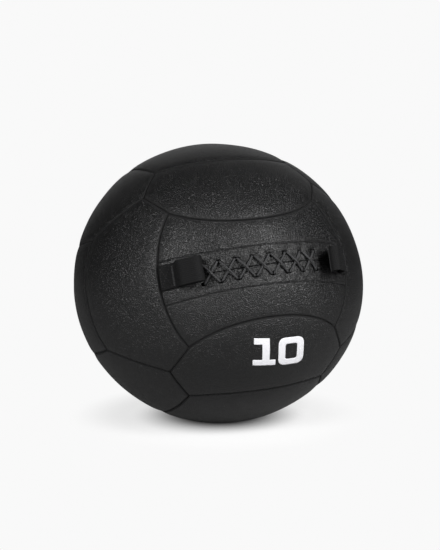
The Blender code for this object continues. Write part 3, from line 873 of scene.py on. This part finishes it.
NUMBER_MIDDLE = np.array([0.0551, -0.8343, -0.5486])
NUMBER_RIGHT = np.array([0.998, 0.066, 0.0])
NUMBER_SLANT = 0.078
FILM = 0.00012
FILM_STEP = 0.001
FILM_WHITE = (0.95, 0.95, 0.98)
FILM_GREY = (0.76, 0.76, 0.80)
ONE = (  # left, right, bottom and top of each stroke
    (-0.0290, -0.0107, 0.0100, 0.0180),
    (-0.0194, -0.0107, -0.0105, 0.0180),
    (-0.0305, -0.0033, -0.0182, -0.0105),
)
ZERO_OUTSIDE = (0, 0.033, -0.0197, 0.0175, 0.0085)  # left, right, bottom, top, radius
ZERO_INSIDE = (0.0087, 0.024, -0.0115, 0.0093, 0.003)
ZERO_STEPS = 8


def on_number(flat):
    """Places on the panel of points that are flat on the number's own sheet."""
    slanted = flat @ np.array([[0.997, -NUMBER_SLANT], [-NUMBER_SLANT, 0.997]])
    middle = unit(NUMBER_MIDDLE)
    right = unit(NUMBER_RIGHT - (NUMBER_RIGHT @ middle) * middle)
    up = np.cross(right, middle)
    up = up if up[2] > 0 else -up
    far = np.maximum(np.linalg.norm(slanted, axis=-1, keepdims=True), 1e-9)
    heading = (slanted[..., :1] * right + slanted[..., 1:] * up) / far
    direction = np.cos(far / RADIUS) * middle + np.sin(far / RADIUS) * heading
    away, nearest = nearest_on(borders["bottom_front"], skin(direction)[None])
    depth = sewn_edge(away, nearest)[0] + lumps(direction)
    return skin(direction, depth - FILM / 4)


def mesh_piece(name, points, faces, material):
    data = bpy.data.meshes.new(name)
    data.from_pydata(points, [], faces)
    data.materials.append(material)
    piece = bpy.data.objects.new(name, data)
    bpy.context.scene.collection.objects.link(piece)
    return piece


def film(name, flat, faces):
    piece = mesh_piece(name, on_number(flat), faces, white_film)
    middle = Vector(on_number(flat[:1])[0]) - BALL_MIDDLE
    if piece.data.polygons[0].normal.dot(middle) < 0:
        piece.data.flip_normals()
    apply(piece, "SOLIDIFY", thickness=FILM, offset=1)
    finish(piece, None)


def ring_faces(rings, sides):
    """The faces between closed rings of points."""
    faces = []
    for ring in range(rings - 1):
        for side in range(sides):
            here, after = ring * sides + side, ring * sides + (side + 1) % sides
            faces.append((here, after, after + sides, here + sides))
    return faces


def between(breaks):
    """Places about a step apart that take in every break."""
    places = []
    for low, high in zip(breaks, breaks[1:]):
        steps = max(1, round((high - low) / FILM_STEP))
        places += list(np.linspace(low, high, steps + 1)[:-1])
    return places + [breaks[-1]]


def rounded_box(left, right, bottom, top, radius):
    """The outline of a box with round corners, anticlockwise from its lower right."""
    sides, ends = (right - radius, left + radius), (bottom + radius, top - radius)
    middles = [(sides[i], ends[j]) for i, j in ((0, 0), (0, 1), (1, 1), (1, 0))]
    quarters = []
    for index, middle in enumerate(middles):
        turn = np.radians(90 * (index - 1 + np.linspace(0, 1, ZERO_STEPS + 1)))
        quarters.append(middle + radius * np.stack([np.cos(turn), np.sin(turn)], -1))
    outline = []
    for here, after in zip(quarters, quarters[1:] + quarters[:1]):
        outline += [here[:-1], np.linspace(here[-1], after[0], 3 * ZERO_STEPS + 1)[:-1]]
    return np.concatenate(outline)


white_film, shader, place = new_material("white_film")
grain = {"Vector": place, "Scale": 1 / GRAIN}
pebbles = place.node("TexVoronoi", {"feature": "DISTANCE_TO_EDGE"}, grain).over(0.0, 0.25)
wear = place.noise(260.0, 4.0, 0.6).over(0.60, 0.75)
colour = (wear * 0.6 + (1 - pebbles) * 0.25).blend(FILM_WHITE, FILM_GREY)
raised = place.bump(pebbles, GRAIN_DEPTH / 2)
feed(shader, Base_Color=colour, Roughness=0.45 + 0.2 * wear, Normal=raised)

columns, rows = (
    between(sorted({edge for stroke in ONE for edge in stroke[i : i + 2]})) for i in (0, 2)
)
flat = np.stack(np.meshgrid(columns, rows), -1)
x, y = np.moveaxis((flat[1:, 1:] + flat[:-1, :-1]) / 2, -1, 0)
covered = np.zeros(x.shape, dtype=bool)
for left, right, low, high in ONE:
    covered |= (left < x) & (x < right) & (low < y) & (y < high)
here = np.argwhere(covered) @ (len(columns), 1)
faces = here[:, None] + (0, 1, len(columns) + 1, len(columns))
used, faces = np.unique(faces, return_inverse=True)
film("number_one", flat.reshape(-1, 2)[used], faces.reshape(-1, 4).tolist())

outside, inside = rounded_box(*ZERO_OUTSIDE), rounded_box(*ZERO_INSIDE)
shares = np.linspace(0, 1, ZERO_STEPS + 1)
flat = np.concatenate([outside + (inside - outside) * share for share in shares])
film("number_zero", flat, ring_faces(len(shares), len(outside)))


# The lace: one round braided cord, 2.4 mm thick. It goes up through every hole in one
# pass, rising to the right, and comes back over that pass, falling to the right.

LACE = 0.0024
LACE_SIDES = 12
LACE_STEP = 0.0007
LACE_SMOOTHING = 5
LACE_TAIL = 0.008
STRAND_POINTS = 25
LACE_CROWN_WIDTH = 0.20  # of a strand's length, where it lies over the other
LACE_OVER = 0.0002 + LACE / 2
LACE_UNDER = 2 * LEATHER + 0.0006 + LACE / 2
LACE_DEEPER = LACE_UNDER + LACE + 0.0003
BRAID = 0.0030  # along the cord, from one plait to the next
LACE_BLACK = (0.010, 0.010, 0.0105)
LACE_GREY = (0.060, 0.060, 0.063)
PLAIT_DEPTH = 0.0002
FUZZ_DEPTH = 0.00008


def hole(index, half, row):
    """Where a half of a hole lies on the front, along the slit and up from it."""
    return np.array([lace_place(index) + half * LACE_SPREAD / 2, row * HOLE_ROW])


def cord_line(start, end, heights):
    """Places between two on the front, at some heights over its leather."""
    share = np.linspace(0, 1, len(heights))[:, None]
    direction = closure(*(start + (end - start) * share).T)
    return skin(direction, lumps(direction) + drawn_in(direction) - heights)


def strand(index, sign, rise):
    """A strand from the right half of one hole to the left half of the next one opposite."""
    from_middle = np.linspace(-0.5, 0.5, STRAND_POINTS)
    crown = rise * np.exp(-((from_middle / LACE_CROWN_WIDTH) ** 2))
    return cord_line(hole(index, 1, sign), hole(index + 1, -1, -sign), crown + LACE_OVER)


def beneath(index, first, last, depth):
    """A strand beneath the flaps, from a hole above the slit to the one below it."""
    return cord_line(hole(index, first, 1), hole(index, last, -1), np.full(9, -depth))


def lace_tail(sign):
    """A lace end beneath the first hole, from the hole to where it is cut."""
    start = hole(0, 1, sign)
    return cord_line(start, start - np.array([0, sign * LACE_TAIL]), np.full(4, -LACE_UNDER))


def even_route(points, step, smoothing):
    """The route through points, in even steps, with its corners rounded."""
    far = lengths_to(points)
    route = points_at(np.linspace(0, far[-1], round(far[-1] / step) + 1), far, points)
    for smooth in range(smoothing):
        route[1:-1] = (route[:-2] + 2 * route[1:-1] + route[2:]) / 4
    return route


def swept(name, rings, lengths, girth, material):
    """A closed tube through rings of points. Its UV map is in metres, round and along."""
    count, sides = rings.shape[:2]
    faces, corners = ring_faces(count, sides), []
    for near, far in zip(lengths, lengths[1:]):
        for low, high in zip(girth, girth[1:]):
            corners += [(low, near), (high, near), (high, far), (low, far)]
    last = (count - 1) * sides
    faces += [tuple(reversed(range(sides))), tuple(range(last, last + sides))]
    corners += [(0, lengths[0])] * sides + [(0, lengths[-1])] * sides
    piece = mesh_piece(name, rings.reshape(-1, 3), faces, material)
    piece.data.uv_layers.new(name="UVMap").data.foreach_set("uv", np.ravel(corners))
    work = bmesh.new()
    work.from_mesh(piece.data)
    bmesh.ops.recalc_face_normals(work, faces=work.faces)
    work.to_mesh(piece.data)
    work.free()
    return piece


braided_cord, shader, place = new_material("braided_cord")
around = place.node("UVMap")
turn = around.part(0) * (8 / LACE)
run = around.part(1) * (2 * math.pi / BRAID)
plaits = (turn + run).sine().larger((turn - run).sine())
fuzz = place.noise(3000.0, 3.0, 0.6)
wear = place.noise(120.0, 3.0)
share = 0.45 * plaits.over(-0.2, 1.0) + 0.55 * wear * fuzz
colour = share.blend(LACE_BLACK, LACE_GREY)
raised = place.bump(fuzz, FUZZ_DEPTH, place.bump(plaits, PLAIT_DEPTH))
feed(shader, Base_Color=colour, Roughness=0.45 + 0.2 * fuzz, Normal=raised)


rising, falling = [], []
for index in range(LACE_HOLES - 1):
    rising.append(strand(index, -1, 0))
    falling.append(strand(index, 1, LACE))
    if index + 2 < LACE_HOLES:
        rising.append(beneath(index + 1, -1, 1, LACE_DEEPER))
        falling.append(beneath(index + 1, 1, -1, LACE_UNDER)[::-1])
turn = beneath(LACE_HOLES - 1, -1, -1, LACE_UNDER)
back_over = np.concatenate(falling)[::-1]
whole = np.concatenate([lace_tail(-1)[::-1], *rising, turn, back_over, lace_tail(1)])
route = even_route(whole, LACE_STEP, LACE_SMOOTHING)
heading = unit(np.gradient(route, axis=0))
across = unit(np.cross(heading[0], AXIS["z"]))
rings = []
for here, forward in zip(route, heading):
    across = unit(across - (across @ forward) * forward)
    upward = np.cross(forward, across)
    angle = np.linspace(0, 2 * math.pi, LACE_SIDES, endpoint=False)[:, None]
    rings.append(here + LACE / 2 * (np.cos(angle) * across + np.sin(angle) * upward))
lengths = LACE_STEP * np.arange(len(route))
girth = np.linspace(0, math.pi * LACE, LACE_SIDES + 1)
lace = swept("braided_lace", np.array(rings), lengths, girth, braided_cord)
finish(lace, "lace_cord", "lace")


# The webbing loops: nylon webbing, 28 mm wide, sewn down from the side seam to the root
# and folded back on itself beyond it. The upper leg rises at the root, so a finger fits
# in, and each loop is set in the shape in which it stays when nothing pulls it.

WEBBING = 0.0016
WEBBING_WIDTH = 0.028
LOOP_ROOT = 0.100  # from the middle of the closure to where a loop leaves its stitches
LOOP_LENGTH = 0.035
LOOP_FOLD_RADIUS = 0.0058  # of the webbing's middle, round the folded end
LOOP_CLEARANCE = 0.0003
LOOP_SIDES = {
    "left": {"sign": -1, "up": 0.0055, "lift": 4.0, "seam": FRONT_SIDES[0]},
    "right": {"sign": 1, "up": -0.002, "lift": 18.0, "seam": FRONT_SIDES[1]},
}
LOOP_RISE = ((0.0100, 0.0100), (0.0050, 0.0068), (0.0020, 0.0024))
CAUGHT_SHARE = 0.35  # of its thickness, left where the webbing is caught in the seam
CAUGHT_REACH = 0.003
WEBBING_EDGE = 0.0007  # radius of the webbing's rounded edges
WEBBING_COLUMNS = 20
WEBBING_STEP = 0.0011
WEBBING_SMOOTHING = 4
FREE_FROM = 0.006  # from the root, where the loop stands clear of the ball's curve
WEBBING_BLACK = (0.0025, 0.0025, 0.0027)
WEBBING_GREY = (0.009, 0.009, 0.0095)
WEBBING_FOLD_HIGHLIGHT = (0.065, 0.065, 0.067)
FOLD_HIGHLIGHT_FROM = 0.0508  # along the webbing, where the painted highlight on its folded end starts
FOLD_HIGHLIGHT_TO = 0.0548
RIB = 0.0016  # along the webbing, from one pick of its weave to the next
YARN = 0.0021  # across it, from one rib to the next
RIB_DEPTH = 0.00035
NAP_DEPTH = 0.0001
WEBBING_SHINE = 0.22
BEND_REACH = 0.003  # on each side of the root, where the webbing bends
SEAM_STEPS = 129
FOLD_POINTS = 13


def loop_frame(side):
    """A loop's root, and its axes: inward, outward, and the hinge's, as columns."""
    along, up = side["sign"] * LOOP_ROOT, side["up"]
    height = -(LOOP_CLEARANCE + WEBBING)
    here = skin(closure(along, up), height)
    nearer = skin(closure(along - side["sign"] * WEBBING, up), height)
    low, high = (skin(closure(along, up + s * WEBBING_WIDTH / 2), height) for s in (-1, 1))
    inward = Vector(nearer - here).normalized()
    across = Vector(high - low)
    across = (across - across.dot(inward) * inward).normalized()
    outward = inward.cross(across) * -side["sign"]
    turn = Matrix((inward, outward, inward.cross(outward))).transposed()
    lift = Matrix.Rotation(math.radians(side["lift"]), 3, "Z")
    return np.array(here), np.array(turn @ lift)


def webbing_places(side, x, y, width):
    """Places on a webbing: x inward from its root, y out from the root's middle."""
    x, y, width = np.broadcast_arrays(x, y, width)
    sign, level = side["sign"], side["up"] + width
    seam_at = [abs(meeting(side["seam"], lambda along: up)[1]) for up in level[0]]
    sewn = (np.array(seam_at) - LOOP_ROOT) / side["sewn"]
    inward = np.where(x < 0, x * sewn, x)
    direction = closure(sign * (LOOP_ROOT - inward), level)
    seam_line = skin(side["seam"](np.linspace(0, 1, SEAM_STEPS)))
    far, nearest = nearest_on(seam_line, skin(direction))
    sunk = lumps(direction) + drawn_in(direction) + sewn_edge(far, nearest)
    caught = CAUGHT_SHARE + (1 - CAUGHT_SHARE) * np.clip(far / CAUGHT_REACH, 0, 1)
    lying = skin(direction, sunk - (y + LOOP_CLEARANCE + WEBBING) * caught)
    root, turn = loop_frame(side)
    standing = root + np.stack([x, y, width * sign], -1) @ turn.T
    share = np.clip(x / FREE_FROM, 0, 1)[..., None]
    share = share**2 * (3 - 2 * share)
    return lying * (1 - share) + standing * share


def webbing_route(side):
    """The middle of the webbing from the seam, along its lower leg, round and back."""
    fold_x = LOOP_LENGTH - LOOP_FOLD_RADIUS - WEBBING / 2
    fold_y = LOOP_FOLD_RADIUS - WEBBING / 2 + LOOP_CLEARANCE
    points = [(-side["sewn"], -WEBBING / 2), (0, -WEBBING / 2)]
    for angle in np.linspace(-math.pi / 2, math.pi / 2, FOLD_POINTS):
        x = fold_x + LOOP_FOLD_RADIUS * math.cos(angle)
        points.append((x, fold_y + LOOP_FOLD_RADIUS * math.sin(angle)))
    points += [*LOOP_RISE, (0, WEBBING / 2), (-side["sewn"], WEBBING / 2)]
    flat = np.array([(x, y, 0) for x, y in points])
    return even_route(flat, WEBBING_STEP, WEBBING_SMOOTHING)[:, :2]


# The webbing's cross-section with round edges: across, and out from its middle
half = WEBBING_WIDTH / 2 - WEBBING_EDGE
flat = np.linspace(-half, half, WEBBING_COLUMNS + 1)
turn = np.linspace(math.pi / 2, -math.pi / 2, 7)[1:-1]
right = np.stack([half + WEBBING_EDGE * np.cos(turn), WEBBING / 2 * np.sin(turn)], -1)
top = np.stack([flat, np.full_like(flat, WEBBING / 2)], -1)
outline = np.concatenate([top, right, -top, -right])
girth = lengths_to(np.concatenate([outline, outline[:1]]))

nylon, shader, place = new_material("nylon_webbing")
around = place.node("UVMap")
across = around.part(0) * (2 * math.pi / YARN)
run = around.part(1) * (2 * math.pi / RIB)
yarns = (across + run * 0.5).sine() * (across - run * 0.5).sine()
fuzz = place.noise(2400.0, 3.0, 0.6)
wear = place.noise(60.0, 3.0)
height = 0.6 * across.sine() + 0.4 * yarns
share = 0.45 * height.over(-0.8, 0.9) + 0.5 * wear * fuzz
colour = share.blend(WEBBING_BLACK, WEBBING_GREY)
# A painted highlight: the colour is lighter round each loop's folded end, where light catches
# the fold.
middle = (FOLD_HIGHLIGHT_FROM + FOLD_HIGHLIGHT_TO) / 2
away = around.part(1) - middle
fold_highlight = (away * away).over(0.0, (FOLD_HIGHLIGHT_TO - middle) ** 2, 0.4 + 0.6 * fuzz, 0.0)
colour = fold_highlight.blend(colour, WEBBING_FOLD_HIGHLIGHT)
raised = place.bump(fuzz, NAP_DEPTH, place.bump(height.over(-1.0, 1.0), RIB_DEPTH))
feed(shader, Base_Color=colour, Roughness=0.66 + 0.2 * fuzz, Normal=raised)
feed(shader, Specular_IOR_Level=WEBBING_SHINE)

for word, side in LOOP_SIDES.items():
    end = abs(meeting(side["seam"], lambda along: side["up"])[1])
    side["sewn"] = end - LOOP_ROOT
    route = webbing_route(side)
    heading = unit(np.gradient(route, axis=0))
    x = route[:, :1] - heading[:, 1:] * outline[:, 1]
    y = route[:, 1:] + heading[:, :1] * outline[:, 1]
    rings = webbing_places(side, x, y, outline[:, 0])
    lengths = WEBBING_STEP * np.arange(len(route))
    ribbon = swept(f"webbing_{word}", rings, lengths, girth, nylon)
    ribbon.data.shade_smooth()
    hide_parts(f"{word}_loop_anchor", f"{word}_loop")
    bends = (-BEND_REACH, BEND_REACH)
    ends = (webbing_places(side, x, 0, np.zeros((1, 1)))[0, 0] for x in bends)
    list(ends)
    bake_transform(ribbon)


# The webbing's stitching: a dense bar of thread at each loop's root, and a box of plain
# rows with a cross in it out to the side seam.

BAR_THREAD = {"width": 0.0007, "length": 0.0026, "pitch": 0.0008}
BOX_THREAD = {"width": 0.0006, "length": 0.0024, "pitch": 0.0031}
BOX_INSET = 0.0028
BOX_START = -0.0045  # from the root
BOX_END = 0.004  # from the side seam
BOX_SIDES = ((-1, -1), (1, 1), (-1, 1), (1, -1))  # where each row starts and ends, across
BAR_START = -0.0008
BAR_LEAN = 0.0004
BAR_GREY = (0.060, 0.060, 0.062)
THREAD_CLEARANCE = 0.0001


def on_webbing(side, x, width):
    """Places on top of the sewn webbing."""
    height = WEBBING + THREAD_CLEARANCE
    return webbing_places(side, np.array([x]), height, np.array([width]))[0]


BAR = thread_material("bar_thread", THREAD_GREY, BAR_GREY)
half = WEBBING_WIDTH / 2 - BOX_INSET
rows = np.arange(-half, half, BAR_THREAD["pitch"])
lean = np.where(np.arange(len(rows)) % 2, BAR_LEAN, -BAR_LEAN)
for word, side in LOOP_SIDES.items():
    inner = on_webbing(side, np.full(len(rows), BAR_START), rows + lean)
    outer = on_webbing(side, np.full(len(rows), BAR_START - BAR_THREAD["length"]), rows - lean)
    places = (inner, outer, unit(inner - np.array(BALL_MIDDLE)))
    stitches(f"bar_stitches_{word}", places, BAR_THREAD["width"], BAR)

    near, far = BOX_START, BOX_END - side["sewn"]
    lines = [((near, s * half), (far, t * half)) for s, t in BOX_SIDES]
    lines.append(((far, -half), (far, half)))
    starts, ends = [], []
    for first, second in np.array(lines):
        length = np.linalg.norm(second - first)
        count = int(length // BOX_THREAD["pitch"])
        for step in range(count):
            begin = first + (second - first) * step / count
            starts.append(begin)
            ends.append(begin + (second - first) / length * BOX_THREAD["length"])
    starts, ends = (on_webbing(side, *np.array(part).T) for part in (starts, ends))
    places = (starts, ends, unit(starts - np.array(BALL_MIDDLE)))
    stitches(f"box_stitches_{word}", places, BOX_THREAD["width"], SEAM_BLACK)


# The tongue: a strip of thin leather behind the lacing, which keeps the filling off the
# holes. The strands behind the flaps leave soft waves in it.

TONGUE = 0.0015
TONGUE_LENGTH = 0.190
TONGUE_WIDTH = 0.040
TONGUE_DEPTH = 0.0094
TONGUE_WAVE = 0.0004
TONGUE_GREY = (0.016, 0.016, 0.017)
TONGUE_ROUGHNESS = (0.60, 0.75)

along = LACE_MIDDLE + np.linspace(-TONGUE_LENGTH / 2, TONGUE_LENGTH / 2, 140)
up = np.linspace(-TONGUE_WIDTH / 2, TONGUE_WIDTH / 2, 34)
directions = closure(along[None, :], up[:, None])
waves = 0.5 - 0.5 * np.cos(2 * math.pi * (along - lace_place(0)) / LACE_PITCH)
surface = skin(directions, TONGUE_DEPTH + TONGUE_WAVE * waves)
soft = leather_material("tongue_leather", LEATHER_BLACK, TONGUE_GREY, TONGUE_ROUGHNESS)
tongue = grid_piece("leather_tongue", surface, soft)
if tongue.data.polygons[0].normal.y > 0:
    tongue.data.flip_normals()
apply(tongue, "SOLIDIFY", thickness=TONGUE, offset=-1)
finish(tongue, "tongue_leather", "closure_tongue")


# The inner bag: plain woven cloth, open behind the slit where the ball is filled. It
# takes the shape of what is packed in it and wrinkles a little.

BAG_DEPTH = 0.0118
BAG_CLOTH = 0.0009
BAG_MOUTH = (0.45, 0.24)  # half the mouth's length and height, of the radius
BAG_WRINKLE = 0.0008
BAG_CREASE = 0.018  # from one wrinkle to the next
BAG_PALE = ((0.50, 0.50, 0.46), (0.60, 0.60, 0.57))
CLOTH_THREAD = 0.0011
WEAVE_DEPTH = 0.0003


def cloth_material(name, low, high):
    made, shader, place = new_material(name)
    x, y, z = (place.part(axis) * (2 * math.pi / CLOTH_THREAD) for axis in range(3))
    weave = (x + y).sine() * (y + z).sine()
    slubs = place.noise(160.0, 3.0)
    stains = place.noise(24.0, 2.0)
    colour = (0.35 * weave.over(-1.0, 1.0) + 0.3 * slubs + 0.35 * stains).blend(low, high)
    raised = place.bump(weave, WEAVE_DEPTH)
    feed(shader, Base_Color=colour, Roughness=0.80 + 0.15 * slubs, Normal=raised)
    return made


def sphere_piece(name, segments, ring_count):
    """A sphere to be shaped, and the directions of its vertices."""
    size = {"segments": segments, "ring_count": ring_count, "radius": 1}
    piece = added(bpy.ops.mesh.primitive_uv_sphere_add, name, **size)
    return piece, points_of(piece)


bag, directions = sphere_piece("cloth_bag", 128, 64)
creases = noise_at(directions * RADIUS, BAG_CREASE) ** 2
bag_cloth = cloth_material("bag_cloth", *BAG_PALE)
shape_to(bag, skin(directions, BAG_DEPTH + BAG_WRINKLE * creases), bag_cloth)
in_mouth = (np.abs(directions[:, 0]) < BAG_MOUTH[0]) & (np.abs(directions[:, 2]) < BAG_MOUTH[1])
in_mouth &= directions[:, 1] < 0
work = bmesh.new()
work.from_mesh(bag.data)
mouth = [vert for vert, gone in zip(work.verts, in_mouth) if gone]
bmesh.ops.delete(work, geom=mouth, context="VERTS")
work.to_mesh(bag.data)
work.free()
apply(bag, "SOLIDIFY", thickness=BAG_CLOTH, offset=-1)
finish(bag, "bag_cloth", "inner_bag", padded=True)


# The filling: shredded textile fibre, packed in two layers round the bag of weight. Each
# layer is lumpy and tufted, and has the weight's hollow in its inner side.

FILL_DEPTH = 0.0135
FILL_LUMP, FILL_LUMP_SIZE = 0.0030, 0.030
TUFT, TUFT_SIZE = 0.0009, 0.006
STRAND_DEPTH = 0.002
HOLLOW = 0.0660
LAYER_GAP = 0.0008
FIBRE_GREYS = ((0.30, 0.29, 0.28), (0.52, 0.50, 0.47))

fibre, shader, place = new_material("fibre")
strands = place.noise(420.0, 6.0, 0.7)
clumps = place.noise(45.0, 3.0)
colour = (0.6 * strands + 0.4 * clumps).over(0.3, 0.7).blend(*FIBRE_GREYS)
raised = place.bump(strands, STRAND_DEPTH)
feed(shader, Base_Color=colour, Roughness=0.88 + 0.1 * clumps, Normal=raised)

for name, sign in {"lower": -1, "upper": 1}.items():
    fill, directions = sphere_piece(f"fibre_{name}", 128, 80)
    rise = directions[:, 2] * sign
    here = directions * RADIUS
    lumpy = FILL_LUMP * noise_at(here, FILL_LUMP_SIZE) + TUFT * noise_at(here, TUFT_SIZE)
    outside = skin(directions @ LIE, FILL_DEPTH + lumpy)
    level = BALL_MIDDLE.z + sign * LAYER_GAP / 2
    rim = RADIUS - FILL_DEPTH - FILL_LUMP - TUFT
    far = rim * (1 - np.arcsin(np.clip(-rise, 0, 1)) / (math.pi / 2))
    aside = np.linalg.norm(directions[:, :2], axis=-1, keepdims=True)
    around = directions[:, :2] / np.maximum(aside, 1e-9)
    hollow = np.sqrt(np.maximum(HOLLOW**2 - far**2, 0))
    inner = np.column_stack([around * far[:, None], level + sign * (hollow + lumpy / 4)])
    places = np.where((rise > 0.001)[:, None], outside, inner)
    beyond = (places[:, 2] - level) * sign < 0
    places[beyond, 2] = level
    shape_to(fill, places, fibre)
    finish(fill, "fibre", f"filling_{name}", padded=True)


# The bag of weight: heavy granules in a dark cloth bag, in the middle of the filling.

WEIGHT_RADIUS = 0.0648
WEIGHT_FOLD, WEIGHT_FOLD_SIZE = 0.0022, 0.22
WEIGHT_SEAM, WEIGHT_SEAM_WIDTH = 0.0012, 0.03
WEIGHT_DARK = ((0.085, 0.095, 0.115), (0.12, 0.13, 0.15))

weight, directions = sphere_piece("granule_bag", 96, 64)
folds = WEIGHT_FOLD * noise_at(directions * np.array([1, 1, 0.4]), WEIGHT_FOLD_SIZE) ** 2
folds += WEIGHT_SEAM * (1 - np.exp(-((directions[:, 0] / WEIGHT_SEAM_WIDTH) ** 2)))
places = directions * (WEIGHT_RADIUS - folds)[:, None] + np.array(BALL_MIDDLE)
shape_to(weight, places, cloth_material("weight_cloth", *WEIGHT_DARK))
finish(weight, "weight_cloth", "weight_bag", padded=True)
